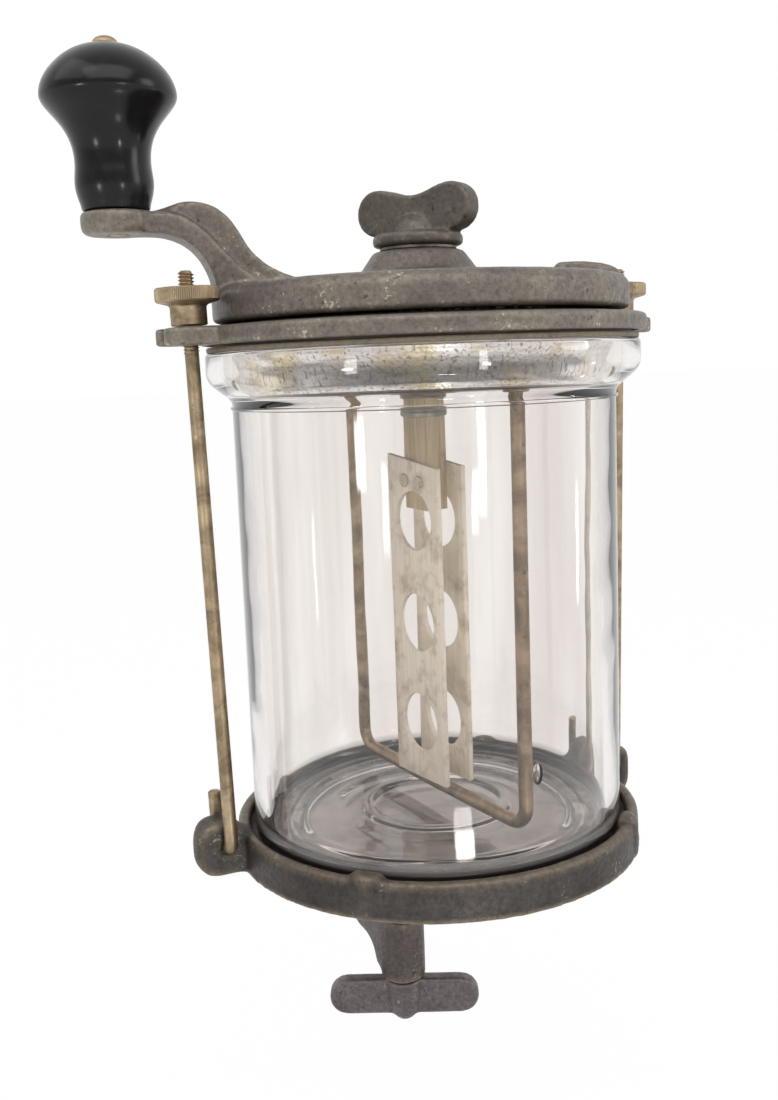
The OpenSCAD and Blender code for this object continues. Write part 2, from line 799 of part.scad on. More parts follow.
module drive_wheel() {
  edge = 0.8;
  body = concat(
    [[0, wheel_z], [wheel_r - edge, wheel_z], [wheel_r, wheel_z + edge]],
    arc([wheel_r - wheel_round, rim_top - wheel_round], wheel_round, 0, 90),
    [[hub_foot_r, wheel_top], [hub_top_r, hub_top - edge], [hub_top_r - edge, hub_top], [0, hub_top]]
  );
  color(iron)
    difference() {
      union() {
        rotate_extrude() polygon(body);
        rotate([0, 0, crank_turn]) crank_arm();
        rotate([0, 0, crank_turn + 180]) counterweight();
      }
      translate([0, 0, wheel_z - past]) cylinder(r = ring_tip_r, h = ceiling_z - wheel_z + past);
      translate([0, 0, wheel_z - past])
        rotate([0, 0, ring_turn])
          linear_extrude(tooth_top - wheel_z + past)
            polygon(gear(ring_teeth, dedendum, addendum, -backlash));
      translate([0, 0, ceiling_z - past]) cylinder(d = post_d + 2 * run_gap, h = hub_top);
      rotate([0, 0, crank_turn])
        translate([crank_r, 0, boss_low - past]) cylinder(d = rivet_d, h = crank_boss_t + 2 * past);
    }
}

module knob() {
  foot_edge = 1.8;
  foot_out = 0.3;
  neck_r = knob_neck_d / 2;
  foot_r = neck_r + foot_out;
  wide_z = knob_h * 0.7;
  neck_z = knob_h * 0.28;
  rise = wide_z - neck_z;
  crown_r = rivet_head_d / 2;
  profile = concat(
    [[0, 0]],
    arc([foot_r - foot_edge, foot_edge], foot_edge, -90, 0, 5),
    curve([[neck_r, neck_z], [neck_r, neck_z + rise * 0.6], [knob_d / 2, neck_z + rise * 0.77],
           [knob_d / 2, wide_z]]),
    curve([[knob_d / 2, wide_z], [knob_d / 2, wide_z + (knob_h - wide_z) * 0.46],
           [crown_r + (knob_d / 2 - crown_r) * 0.45, knob_h], [crown_r, knob_h]]),
    [[0, knob_h]]
  );
  color(enamel)
    rotate([0, 0, crank_turn])
      translate([crank_r, 0, boss_top + face_gap / 2])
        difference() {
          rotate_extrude() polygon(profile);
          translate([0, 0, -past]) cylinder(d = rivet_d + 2 * run_gap, h = knob_h + 2 * past);
        }
}

module knob_rivet() {
  head_z = boss_top + knob_h + face_gap;
  dome = 2.4;
  color(brass)
    rotate([0, 0, crank_turn])
      translate([crank_r, 0, 0]) {
        translate([0, 0, boss_low]) cylinder(d = rivet_d, h = head_z - boss_low);
        translate([0, 0, head_z])
          rotate_extrude()
            polygon(concat([[0, 0]],
              curve([[rivet_head_d / 2, 0], [rivet_head_d / 2, dome * 0.7],
                     [rivet_head_d / 4, dome], [0, dome]], 6)));
      }
}

// An idler at an angle about the axis
module idler_gear(at) {
  color(steel)
    rotate([0, 0, at])
      translate([stud_r, 0, gear_z])
        rotate([0, 0, idler_turn(at) - at])
          difference() {
            linear_extrude(gear_face) polygon(gear(idler_teeth, addendum, dedendum, backlash));
            translate([0, 0, -past]) cylinder(d = stud_d + 2 * run_gap, h = gear_face + 2 * past);
          }
}

module idler_front() { idler_gear(270); }
module idler_back() { idler_gear(90); }

// An idler's stud: tenon in the lid, thrust collar, bearing, tenon in the bridge
module idler_stud(at) {
  collar_out = 3;
  color(steel)
    rotate([0, 0, at])
      translate([stud_r, 0, 0]) {
        translate([0, 0, lid_z]) cylinder(d = stud_tenon_d, h = bridge_top - lid_z);
        translate([0, 0, lid_top]) cylinder(d = stud_d, h = bridge_z - lid_top);
        translate([0, 0, lid_top]) cylinder(d = stud_d + 2 * collar_out, h = gear_gap - face_gap);
      }
}

module stud_front() { idler_stud(270); }
module stud_back() { idler_stud(90); }

module sun_pinion() {
  hub_z = lid_top + face_gap;
  hub_wall = 2.5;
  color(steel)
    difference() {
      union() {
        translate([0, 0, gear_z])
          linear_extrude(gear_face) polygon(gear(sun_teeth, addendum, dedendum, backlash));
        translate([0, 0, hub_z]) cylinder(d = shaft_d + 2 * hub_wall, h = gear_z - hub_z + past);
      }
      translate([0, 0, hub_z - past]) cylinder(d = shaft_d, h = gear_face + 3 * past);
    }
}

module gear_bridge() {
  color(steel)
    difference() {
      union() {
        translate([-bridge_w / 2, -stud_r, bridge_z]) cube([bridge_w, 2 * stud_r, bridge_t]);
        for (y = [-1, 1])
          translate([0, y * stud_r, bridge_z]) cylinder(d = bridge_w, h = bridge_t);
      }
      for (y = [-1, 1])
        translate([0, y * stud_r, bridge_z - past])
          cylinder(d = stud_tenon_d, h = bridge_t + 2 * past);
      translate([0, 0, bridge_z - past]) cylinder(d = post_thread_d, h = bridge_t + 2 * past);
    }
}

module centre_post() {
  collar_out = 4;
  color(steel) {
    translate([0, 0, bridge_z]) cylinder(d = post_thread_d, h = post_top - bridge_z);
    translate([0, 0, bridge_top]) cylinder(d = post_d, h = post_shoulder - bridge_top);
    translate([0, 0, bridge_top]) cylinder(d = post_d + 2 * collar_out, h = post_collar_h);
  }
}

module post_washer() {
  inset = 2.5;
  color(steel) tube(hub_top_r - inset, post_thread_d / 2, washer_t, post_shoulder);
}

// A wing nut: a round flange, a domed hub and a broad saddle between two round lobes
module wing_nut() {
  edge = 0.6;
  top_round = 1.4;
  foot_inset = 1.2;
  saddle = 2.6;
  hub_wall = 2.9;
  hub_rise = 6.4;
  flange_r = wing_flange_d / 2;
  flange_top = wing_z + wing_flange_h;
  foot_x = flange_r - foot_inset;
  lobe_r = wing_h / 2;
  lobe_x = wing_span / 2 - lobe_r;
  lobe_z = flange_top + lobe_r;
  crest = flange_top + wing_h;
  half_saddle = curve([[0, crest - saddle], [lobe_x * 0.4, crest - saddle], [lobe_x * 0.6, crest],
                       [lobe_x, crest]]);
  web = concat(
    [for (p = half_saddle) [-p[0], p[1]]],
    [[-lobe_x, lobe_z], [-foot_x, flange_top - past], [foot_x, flange_top - past], [lobe_x, lobe_z]],
    [for (i = [len(half_saddle) - 1:-1:1]) half_saddle[i]]
  );
  hub_r = post_thread_d / 2 + hub_wall;
  color(iron)
    difference() {
      union() {
        rotate_extrude()
          polygon(concat([[0, wing_z], [flange_r - edge, wing_z], [flange_r, wing_z + edge]],
            arc([flange_r - top_round, flange_top - top_round], top_round, 0, 90, 5), [[0, flange_top]]));
        translate([0, 0, flange_top])
          rotate_extrude()
            polygon(concat([[0, -past], [hub_r, -past]],
              [for (a = [0:10:90]) [hub_r * cos(a), hub_rise * sin(a)]]));
        rotate([0, 0, wing_turn])
          rotate([90, 0, 0])
            union() {
              linear_extrude(wing_t, center = true) polygon(web);
              for (s = [-1, 1])
                translate([s * lobe_x, lobe_z, 0]) cylinder(r = lobe_r, h = wing_t, center = true);
            }
      }
      translate([0, 0, wing_z - past])
        cylinder(d = post_thread_d + 2 * run_gap, h = past + wing_flange_h + wing_grip + face_gap);
    }
}

module shaft_bush() {
  color(tin)
    difference() {
      union() {
        translate([0, 0, bush_low]) cylinder(d = bush_d, h = bush_l);
        translate([0, 0, pan_z - bush_flange_t]) cylinder(d = bush_d + 2 * bush_flange_out, h = bush_flange_t);
        translate([0, 0, pan_z]) cylinder(d = bush_neck_d, h = lid_top - pan_z);
      }
      translate([0, 0, bush_low - past])
        cylinder(d = shaft_d + 2 * run_gap, h = lid_top - bush_low + 2 * past);
    }
}

// The shaft, with a thinner tang that goes down into the stock
module dasher_shaft() {
  tang_z = stock_z + tang_end;
  color(steel) {
    translate([0, 0, ferrule_z]) cylinder(d = shaft_d, h = bridge_z - face_gap - ferrule_z);
    translate([0, 0, tang_z]) cylinder(d = tang_d, h = ferrule_z - tang_z + past);
  }
}

module shaft_ferrule() {
  color(tin) tube(bush_d / 2, shaft_d / 2, ferrule_h, ferrule_z);
}

// Places what is drawn in the slats' frame: X across a slat, Y through it
module on_dasher() { rotate([0, 0, dasher_turn]) children(); }

// The rivets' shanks, for the holes and the rivets
module slat_shanks(length) {
  for (s = [-1, 1])
    translate([s * rivet_x, 0, rivet_z])
      rotate([90, 0, 0])
        cylinder(d = rivet_hole_d, h = length, center = true);
}

module paddle_stock() {
  color(wood)
    on_dasher()
      difference() {
        translate([-stock_w / 2, -stock_t / 2, stock_z]) cube([stock_w, stock_t, stock_l]);
        translate([0, 0, stock_z + tang_end]) cylinder(d = tang_d, h = stock_l);
        slat_shanks(2 * stock_t);
      }
}

// One slat with its round holes, on the side s of the stock
module slat(s) {
  hole_margin = 3;
  outline = [[-slat_w / 2, slat_low], [slat_w / 2, slat_low], [slat_w / 2, slat_high + slat_slope / 2],
             [-slat_w / 2, slat_high - slat_slope / 2]];
  color(pale_wood)
    on_dasher()
      difference() {
        translate([0, s * (stock_t + slat_t) / 2, 0])
          rotate([90, 0, 0])
            linear_extrude(slat_t, center = true)
              polygon(outline);
        for (z = [hole_high:-slat_pitch:slat_low + slat_hole_d / 2 + hole_margin])
          translate([0, 0, z])
            rotate([90, 0, 0])
              cylinder(d = slat_hole_d, h = 4 * stock_t, center = true);
        slat_shanks(4 * stock_t);
      }
}

module front_slat() { slat(1); }
module back_slat() { slat(-1); }

module slat_rivets() {
  head_d = 4;
  head_h = 0.9;
  face = stock_t / 2 + slat_t;
  color(brass)
    on_dasher() {
      slat_shanks(2 * face);
      for (s = [-1, 1], f = [-1, 1])
        translate([s * rivet_x, f * (face + head_h / 2), rivet_z])
          rotate([90, 0, 0])
            cylinder(d = head_d, h = head_h, center = true);
    }
}

// One half of the wire, on +X: half the bar, the bend and the leg
module wire_half() {
  translate([0, 0, wire_z]) rotate([0, 90, 0]) cylinder(d = wire_d, h = wire_r - wire_bend);
  translate([wire_r - wire_bend, 0, wire_z + wire_bend])
    rotate([90, 0, 0])
      rotate([0, 0, -90])
        rotate_extrude(angle = 90)
          translate([wire_bend, 0]) circle(d = wire_d);
  translate([wire_r, 0, wire_z + wire_bend]) cylinder(d = wire_d, h = wire_top - wire_z - wire_bend);
}

module wire_frame() {
  color(brass)
    for (side = [0, 180]) rotate([0, 0, wire_turn + side]) wire_half();
}

// Collars under the pan, one on each leg
module wire_collars() {
  collar_h = 2.5;
  collar_wall = 1.6;
  color(brass)
    for (side = [0, 180])
      rotate([0, 0, wire_turn + side])
        translate([wire_r, 0, 0])
          tube(wire_d / 2 + collar_wall, wire_d / 2, collar_h, pan_z - collar_h);
}

// Six-sided nuts on the legs, inside the lid
module wire_nuts() {
  color(brass)
    for (side = [0, 180])
      rotate([0, 0, wire_turn + side])
        translate([wire_r, 0, pan_z + tin_t])
          difference() {
            rotate([0, 0, 30]) cylinder(d = 2 * wire_d, h = wire_nut_h, $fn = 6);
            translate([0, 0, -past]) cylinder(d = wire_d, h = wire_nut_h + 2 * past);
          }
}

base_casting();
clamp_screw();
clamp_wing();
clamp_pad();
jar();
lip_gasket();
splash_pan();
lid_plate();
rod_left();
rod_right();
nut_left();
nut_right();
drive_wheel();
knob();
knob_rivet();
idler_front();
idler_back();
stud_front();
stud_back();
sun_pinion();
gear_bridge();
centre_post();
post_washer();
wing_nut();
shaft_bush();
dasher_shaft();
shaft_ferrule();
paddle_stock();
front_slat();
back_slat();
slat_rivets();
wire_frame();
wire_collars();
wire_nuts();
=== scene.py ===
# %% [markdown]
# # A glass jar butter churn
# The churn is a pressed glass jar in an iron base that clamps to a table. A crank wheel on the lid
# drives a slatted dasher inside the jar, past a fixed wire. The imported solids already have the right
# sizes and places. This lesson gives them their finishes, and models the pieces that show again, with
# the soft edges, threads and knurls of the real ones. The frame is loaded first, because every piece
# is placed by it, and its box is kept, which also sets the floor's height.

# %% Load the frame
import json
import math

import bpy
from mathutils import Matrix, Vector


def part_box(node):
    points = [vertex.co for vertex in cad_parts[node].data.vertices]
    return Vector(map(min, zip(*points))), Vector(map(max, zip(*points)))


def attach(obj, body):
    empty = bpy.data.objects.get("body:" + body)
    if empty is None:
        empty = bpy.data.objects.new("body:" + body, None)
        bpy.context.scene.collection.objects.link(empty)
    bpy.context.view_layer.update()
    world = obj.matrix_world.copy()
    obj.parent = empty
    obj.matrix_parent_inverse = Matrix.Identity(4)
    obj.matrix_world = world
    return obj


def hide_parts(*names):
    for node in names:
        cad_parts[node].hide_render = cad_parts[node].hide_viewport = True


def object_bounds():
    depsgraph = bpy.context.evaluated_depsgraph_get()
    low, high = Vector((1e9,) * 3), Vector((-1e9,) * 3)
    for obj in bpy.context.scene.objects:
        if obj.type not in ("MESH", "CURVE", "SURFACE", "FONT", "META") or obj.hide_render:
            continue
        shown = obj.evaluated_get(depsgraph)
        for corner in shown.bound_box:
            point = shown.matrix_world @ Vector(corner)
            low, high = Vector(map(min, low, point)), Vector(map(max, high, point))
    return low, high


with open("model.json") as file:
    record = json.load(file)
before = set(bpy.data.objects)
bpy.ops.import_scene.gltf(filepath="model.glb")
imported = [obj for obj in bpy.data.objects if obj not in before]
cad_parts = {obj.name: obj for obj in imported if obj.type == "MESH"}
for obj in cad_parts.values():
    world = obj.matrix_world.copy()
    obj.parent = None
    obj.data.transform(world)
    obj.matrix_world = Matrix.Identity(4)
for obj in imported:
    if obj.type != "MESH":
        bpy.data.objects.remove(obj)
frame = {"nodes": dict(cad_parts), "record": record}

MM = 0.001
record = frame["record"]
cad_box = [list(corner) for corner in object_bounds()]
print("CAD box", cad_box)

# %% [markdown]
# ## The camera
# The picture was taken from close by, a little above the middle of the jar, and the camera was not
# quite level. The camera could be aimed with a Track To constraint, but a constraint can't roll it.
# So its axes are worked out from three angles and put into its matrix.

# %% Camera
PHOTO_HEIGHT = 1100
FOCAL_PIXELS = 1200
CAMERA_TURN = math.radians(-26)
CAMERA_PLACE = Vector((0, -369.97, 150.45)) * MM
CAMERA_DOWN = 0.15216
CAMERA_ASIDE = -0.03302
CAMERA_ROLL = -0.03821


def camera_matrix():
    """Place and axes of the camera, turned to the side of the churn that it looks at."""
    ahead = Vector((math.sin(CAMERA_ASIDE) * math.cos(CAMERA_DOWN),
                    math.cos(CAMERA_ASIDE) * math.cos(CAMERA_DOWN),
                    -math.sin(CAMERA_DOWN)))
    level = Vector((math.cos(CAMERA_ASIDE), -math.sin(CAMERA_ASIDE), 0))
    upright = level.cross(ahead)
    right = math.cos(CAMERA_ROLL) * level + math.sin(CAMERA_ROLL) * upright
    up = math.cos(CAMERA_ROLL) * upright - math.sin(CAMERA_ROLL) * level
    axes = Matrix((right, up, -ahead)).transposed().to_4x4()
    return Matrix.Rotation(CAMERA_TURN, 4, "Z") @ Matrix.Translation(CAMERA_PLACE) @ axes


lens = bpy.data.cameras.new("camera")
lens.sensor_width = 36
lens.lens = lens.sensor_width * FOCAL_PIXELS / PHOTO_HEIGHT
lens.clip_start = 0.01
camera = bpy.data.objects.new("camera", lens)
bpy.context.scene.collection.objects.link(camera)
camera.matrix_world = camera_matrix()
bpy.context.scene.camera = camera
print("Camera at", [round(x, 4) for x in camera.matrix_world.translation], "lens", round(lens.lens, 2))

# %% [markdown]
# ## Nodes and colours
# All finishes are node trees. Colours are written as hex values, as a paint program shows them, but
# shaders work with linear light, so one function converts them. A second function adds a node, sets
# its values and links its inputs, which keeps each finish short enough to read. Most surfaces are a
# ground colour under several coats, such as a film, rust or dust, so a third function lays the coats.

# %% Node helpers
# Sockets of the colour mix node, which has several with the same name
MIX_A, MIX_B, MIX_OUT = 6, 7, 2


def linear(code):
    """A hex colour as linear RGBA."""
    parts = [int(code[i:i + 2], 16) / 255 for i in (1, 3, 5)]
    return [c / 12.92 if c <= 0.04045 else ((c + 0.055) / 1.055) ** 2.4 for c in parts] + [1]


def add(tree, kind, inputs=None, **settings):
    """Adds a shader node. An input is a value, a hex colour, a socket, or a node for its first output."""
    made = tree.nodes.new("ShaderNode" + kind)
    for name, value in settings.items():
        setattr(made, name, value)
    for socket, value in (inputs or {}).items():
        if isinstance(value, bpy.types.Node):
            value = value.outputs[0]
        if isinstance(value, bpy.types.NodeSocket):
            tree.links.new(value, made.inputs[socket])
        else:
            made.inputs[socket].default_value = linear(value) if isinstance(value, str) else value
    return made


def coated(tree, ground, *coats):
    """A ground colour under coats of other colours, each with the share of the surface that it covers."""
    for share, colour in coats:
        mixed = add(tree, "Mix", {0: share, MIX_A: ground, MIX_B: colour}, data_type="RGBA")
        ground = mixed.outputs[MIX_OUT]
    return ground


def per_size(millimetres):
    """The scale of a pattern whose features have this size."""
    return 1 / (millimetres * MM)


def new_finish(name):
    """An empty material, its node tree, and the Object coordinates that its patterns follow."""
    material = bpy.data.materials.new(name)
    material.use_nodes = True
    tree = material.node_tree
    tree.nodes.clear()
    return material, tree, add(tree, "TexCoord").outputs["Object"]


print("Node helpers ready")

# %% [markdown]
# ## Floor and surroundings
# The churn was photographed on white, with soft light all round. A white world alone would make glass
# vanish, because it would mirror the same white that it lets through. So the surroundings are white
# behind the churn and grey on the camera's side. Rays that come straight from the camera, or through
# glass, see plain white. The floor glows for those rays, which keeps it white around a faint shadow.
# It lies where the clamp's wing comes to when the screw is turned right down.

# %% Floor
FLOOR_SIZE = 30
FLOOR_GAP = 0.5 * MM
FLOOR_GLOW = 0.97
WHITE = "#ffffff"


def seen_directly(tree, *more_rays):
    """1 for rays from the camera, through glass or of the further kinds named, and 0 for other rays."""
    path = add(tree, "LightPath")
    seen = path.outputs["Is Camera Ray"]
    for kind in ("Is Transmission Ray", *more_rays):
        seen = add(tree, "Math", {0: seen, 1: path.outputs[kind]}, operation="MAXIMUM")
    return seen


def white_paper(name):
    """White paper: it takes a faint shadow, and glows for rays that see it directly."""
    material, tree, _ = new_finish(name)
    paper = add(tree, "BsdfDiffuse", {"Color": "#f2f2f2"})
    glow = add(tree, "Emission", {"Color": WHITE, "Strength": 1})
    seen = seen_directly(tree, "Is Glossy Ray")
    share = add(tree, "Math", {0: seen, 1: FLOOR_GLOW}, operation="MULTIPLY")
    mixed = add(tree, "MixShader", {0: share, 1: paper, 2: glow})
    add(tree, "OutputMaterial", {"Surface": mixed})
    return material


joints = {joint["name"]: joint for joint in record["behaviour"]["joints"]}
ground_z = cad_box[0][2] - joints["clamp_feed"]["range_m"][1] - FLOOR_GAP
bpy.ops.object.select_all(action="DESELECT")
bpy.ops.mesh.primitive_plane_add(size=FLOOR_SIZE, location=(0, 0, ground_z))
floor = bpy.context.object
floor.name = "floor"
bpy.ops.object.transform_apply(location=True)
floor.data.materials.append(white_paper("white_paper"))
print("Floor at", round(ground_z, 4))

# %% World
REAR = Matrix.Rotation(CAMERA_TURN, 3, "Z") @ Vector((0, 1, 0))
FRONT_LIGHT, REAR_LIGHT = 0.5, 1.0
# How far a direction points to the rear where the light starts and where it stops growing
FRONT_END, REAR_END = -0.5, 0.7
world = bpy.data.worlds.new("studio")
bpy.context.scene.world = world
world.use_nodes = True
sky = world.node_tree
sky.nodes.clear()
direction = add(sky, "TexCoord").outputs["Generated"]
rearward = add(sky, "VectorMath", {0: direction, 1: REAR}, operation="DOT_PRODUCT")
strength = add(sky, "MapRange", {"Value": rearward.outputs["Value"], "From Min": FRONT_END,
                                 "From Max": REAR_END, "To Min": FRONT_LIGHT, "To Max": REAR_LIGHT})
room = add(sky, "Background", {"Color": WHITE, "Strength": strength})
backdrop = add(sky, "Background", {"Color": WHITE, "Strength": 1})
shown = add(sky, "MixShader", {0: seen_directly(sky), 1: room, 2: backdrop})
add(sky, "OutputWorld", {"Surface": shown})
bpy.context.scene.view_settings.view_transform = "Standard"
print("World light", FRONT_LIGHT, "from the front and", REAR_LIGHT, "from the rear")

# %% [markdown]
# ## Lamps
# Large softboxes give the metal its broad, even light. A few small strips show as glints in the glass,
# as windows do. A plain strip would leave a hard-edged mirror image, so each strip has nodes
# that dim it towards its edges.

# %% Lamps
# Height of the jar's middle, which the lamps face, in millimetres
AIM_Z = 80
# Share of a strip's width and length over which its light fades at each end
FADE = 0.22
# Each lamp: angle from the camera's side, height, distance, width, length and power
LAMPS = {
    "softbox_above": (-60, 1000, 800, 1100, 800, 3.0),
    "softbox_front": (12, 1200, 950, 1700, 1100, 11.0),
    "softbox_right": (80, 420, 900, 300, 500, 1.6),
    "strip_left": (-36, 70, 800, 96, 86, 0.74),
    "strip_middle": (31, 62, 800, 74, 120, 0.72),
    "strip_right": (94, -10, 700, 30, 120, 0.14),
    "strip_low": (13.8, -50, 200, 38, 14, 0.065),
}


def fade_ends(light):
    """Makes a lamp dimmer towards its edges, so that its glint in the glass has no hard outline."""
    light.use_nodes = True
    tree = light.node_tree
    across = add(tree, "NewGeometry").outputs["Parametric"]
    middle = add(tree, "VectorMath", {0: across, 1: (0.5, 0.5, 0)}, operation="SUBTRACT")
    outwards = add(tree, "VectorMath", {0: middle}, operation="ABSOLUTE")
    sides = add(tree, "SeparateXYZ", {0: outwards})
    shares = [add(tree, "MapRange",
                  {"Value": sides.outputs[axis], "From Min": 0.5, "From Max": 0.5 - FADE},
                  interpolation_type="SMOOTHSTEP") for axis in ("X", "Y")]
    share = add(tree, "Math", {0: shares[0], 1: shares[1]}, operation="MULTIPLY")
    emission = next(node for node in tree.nodes if node.type == "EMISSION")
    tree.links.new(share.outputs[0], emission.inputs["Strength"])


def lamp(name, side, height, away, width, length, power):
    """An area lamp that faces the jar's middle. Sizes are in millimetres."""
    light = bpy.data.lights.new(name, "AREA")
    light.shape = "RECTANGLE"
    light.size = width * MM
    light.size_y = length * MM
    light.energy = power
    if name.startswith("strip"):
        fade_ends(light)
    turn = CAMERA_TURN + math.radians(side)
    place = Vector((math.sin(turn) * away, -math.cos(turn) * away, height)) * MM
    holder = bpy.data.objects.new(name, light)
    holder.location = place
    holder.rotation_euler = (Vector((0, 0, AIM_Z * MM)) - place).to_track_quat("-Z", "Y").to_euler()
    bpy.context.scene.collection.objects.link(holder)


for name, numbers in LAMPS.items():
    lamp(name, *numbers)
print("Lamps", ", ".join(LAMPS))

# %% [markdown]
# ## Cast iron
# The base, lid, wheel and wing nuts are sand-cast iron that was once tinned. The tin has worn off, so
# the skin is a dull metal that drifts between olive grey and a warmer brown, with a fine grain from the
# sand, a few rust-dark pits, pale lime specks where damp stayed, and rubbed edges. A flat grey would
# look like plastic. Noise at four sizes makes the clouds, the grain, the pits and the specks, and
# Pointiness finds the edges. Pale dust lies in the base under the jar, and it is also painted light: it
# reaches up the rim's inner side to lighten the shaded gap round the jar's foot. The clamp's arm takes a
# paler tone below the base, and its darker part just under the base is partly painted shade.

# %% Iron patterns
# Sizes of the iron's patterns. Sand grain is finer in truth, and is drawn coarse enough to show.
CLOUD_MM = 18
GRAIN_MM = 1.5
GRAIN_DEPTH = 0.3
PIT_MM = 2.0
SPECK_MM = 0.9
LIME_FIELD_MM = 9
# How much more lime a damp band gets, and the softness of the ends of bands and of the dust with painted
# light
BAND_LIME = 0.035
BAND_SOFT = 1
DUST_AND_LIGHT_SOFT = 0.5
DUST_AND_LIGHT_EDGE = 1
PALER_SOFT = 8
IRON_PIT = "#2f2925"


def between(tree, height, low, high, soft):
    """1 between two heights in millimetres and 0 elsewhere, with soft ends."""
    ends = [add(tree, "MapRange", {"Value": height, "From Min": out * MM, "From Max": full * MM})
            for out, full in ((low - soft, low), (high + soft, high))]
    return add(tree, "Math", {0: ends[0], 1: ends[1]}, operation="MULTIPLY")


def from_axis(tree, place):
    """Distance from the churn's upright axis."""
    level = add(tree, "VectorMath", {0: place, 1: (1, 1, 0)}, operation="MULTIPLY")
    return add(tree, "VectorMath", {0: level}, operation="LENGTH").outputs["Value"]


def lime_share(tree, place, height, bands, most):
    """Where pale lime specks lie: in a few fields, and more of them in bands of height."""
    dots = add(tree, "TexNoise", {"Vector": place, "Scale": per_size(SPECK_MM), "Detail": 2})
    field = add(tree, "TexNoise", {"Vector": place, "Scale": per_size(LIME_FIELD_MM), "Detail": 2})
    lime = add(tree, "Math", {0: dots, 1: field}, operation="MULTIPLY")
    for low, high in bands:
        band = between(tree, height, low, high, BAND_SOFT)
        lime = add(tree, "Math", {0: band, 1: BAND_LIME, 2: lime}, operation="MULTIPLY_ADD")
    return add(tree, "MapRange", {"Value": lime, "From Min": 0.41, "From Max": 0.46, "To Max": most})


def dust_and_light_share(tree, place, height, cloud, low, high, reach):
    """Where pale dust and painted light lie: between two heights and within a reach of the axis, thicker in
    patches.
    """
    inside = add(tree, "MapRange", {"Value": from_axis(tree, place),
                                    "From Min": (reach + DUST_AND_LIGHT_EDGE) * MM, "From Max": reach * MM})
    at_height = between(tree, height, low, high, DUST_AND_LIGHT_SOFT)
    lying = add(tree, "Math", {0: at_height, 1: inside}, operation="MULTIPLY")
    patchy = add(tree, "MapRange", {"Value": cloud, "From Min": 0.4, "From Max": 0.6, "To Min": 0.45})
    return add(tree, "Math", {0: lying, 1: patchy}, operation="MULTIPLY")


print("Iron patterns ready")


# %% Iron finishes
def cast_iron(name, grey, warm, worn, speck, edge_share, speck_share, lime_bands=(), dust_and_light=None, paler_below=None):
    """Worn sand-cast iron: dull, cloudy and grainy, with dust and painted light, or a paler lower end, where
    they are given.
    """
    material, tree, place = new_finish(name)
    height = add(tree, "SeparateXYZ", {0: place}).outputs["Z"]
    cloud = add(tree, "TexNoise", {"Vector": place, "Scale": per_size(CLOUD_MM), "Detail": 4,
                                   "Roughness": 0.6})
    cloudy = add(tree, "MapRange", {"Value": cloud, "From Min": 0.3, "From Max": 0.66})
    colour = coated(tree, warm, (cloudy, grey))
    # A paler tone below a height; the darker part above it, just under the base, is partly painted shade
    if paler_below:
        top, tone = paler_below
        below = add(tree, "MapRange", {"Value": height, "From Min": (top + PALER_SOFT) * MM,
                                       "From Max": top * MM, "To Max": 0.85})
        colour = coated(tree, colour, (below, tone))
    grain = add(tree, "TexNoise", {"Vector": place, "Scale": per_size(GRAIN_MM), "Detail": 5,
                                   "Roughness": 0.75})
    shade = add(tree, "MapRange", {"Value": grain, "From Min": 0.3, "From Max": 0.7,
                                   "To Min": 0.62, "To Max": 1.38})
    grained = add(tree, "Mix", {0: 1.0, MIX_A: colour, MIX_B: shade}, data_type="RGBA",
                  blend_type="MULTIPLY").outputs[MIX_OUT]
    pits = add(tree, "TexNoise", {"Vector": place, "Scale": per_size(PIT_MM), "Detail": 2})
    pitted = add(tree, "MapRange", {"Value": pits, "From Min": 0.33, "From Max": 0.26, "To Max": 0.8})
    point = add(tree, "NewGeometry").outputs["Pointiness"]
    edge = add(tree, "MapRange", {"Value": point, "From Min": 0.505, "From Max": 0.56,
                                  "To Max": edge_share})
    rubbed = add(tree, "Math", {0: edge, 1: grain}, operation="MULTIPLY")
    limed = lime_share(tree, place, height, lime_bands, speck_share)
    colour = coated(tree, grained, (pitted, IRON_PIT), (rubbed, worn), (limed, speck))
    # Pale dust, partly painted light that lightens the shaded gap round the jar's foot
    if dust_and_light:
        *limits, tone = dust_and_light
        colour = coated(tree, colour, (dust_and_light_share(tree, place, height, cloud, *limits), tone))
    rough = add(tree, "MapRange", {"Value": grain, "From Min": 0.3, "From Max": 0.7,
                                   "To Min": 0.56, "To Max": 0.36})
    bump = add(tree, "Bump", {"Height": grain, "Strength": 0.4, "Distance": GRAIN_DEPTH * MM})
    iron = add(tree, "BsdfPrincipled", {"Base Color": colour, "Metallic": 0.55, "Roughness": rough,
                                        "Normal": bump})
    add(tree, "OutputMaterial", {"Surface": iron})
    return material


# Lower edges of the lid and of the wheel's rim, and the base's seat for the rods, where damp stayed
LID_EDGE = (158.6, 160)
WHEEL_EDGE = (164.6, 167)
EAR_TOP = (8, 14)
# Pale dust under the jar, also painted light that lightens the shaded gap round the jar's foot: from and to
# height, reach from the axis, and tone
BASE_DUST_AND_LIGHT = (3.6, 8.5, 62.5, "#cec3bf")
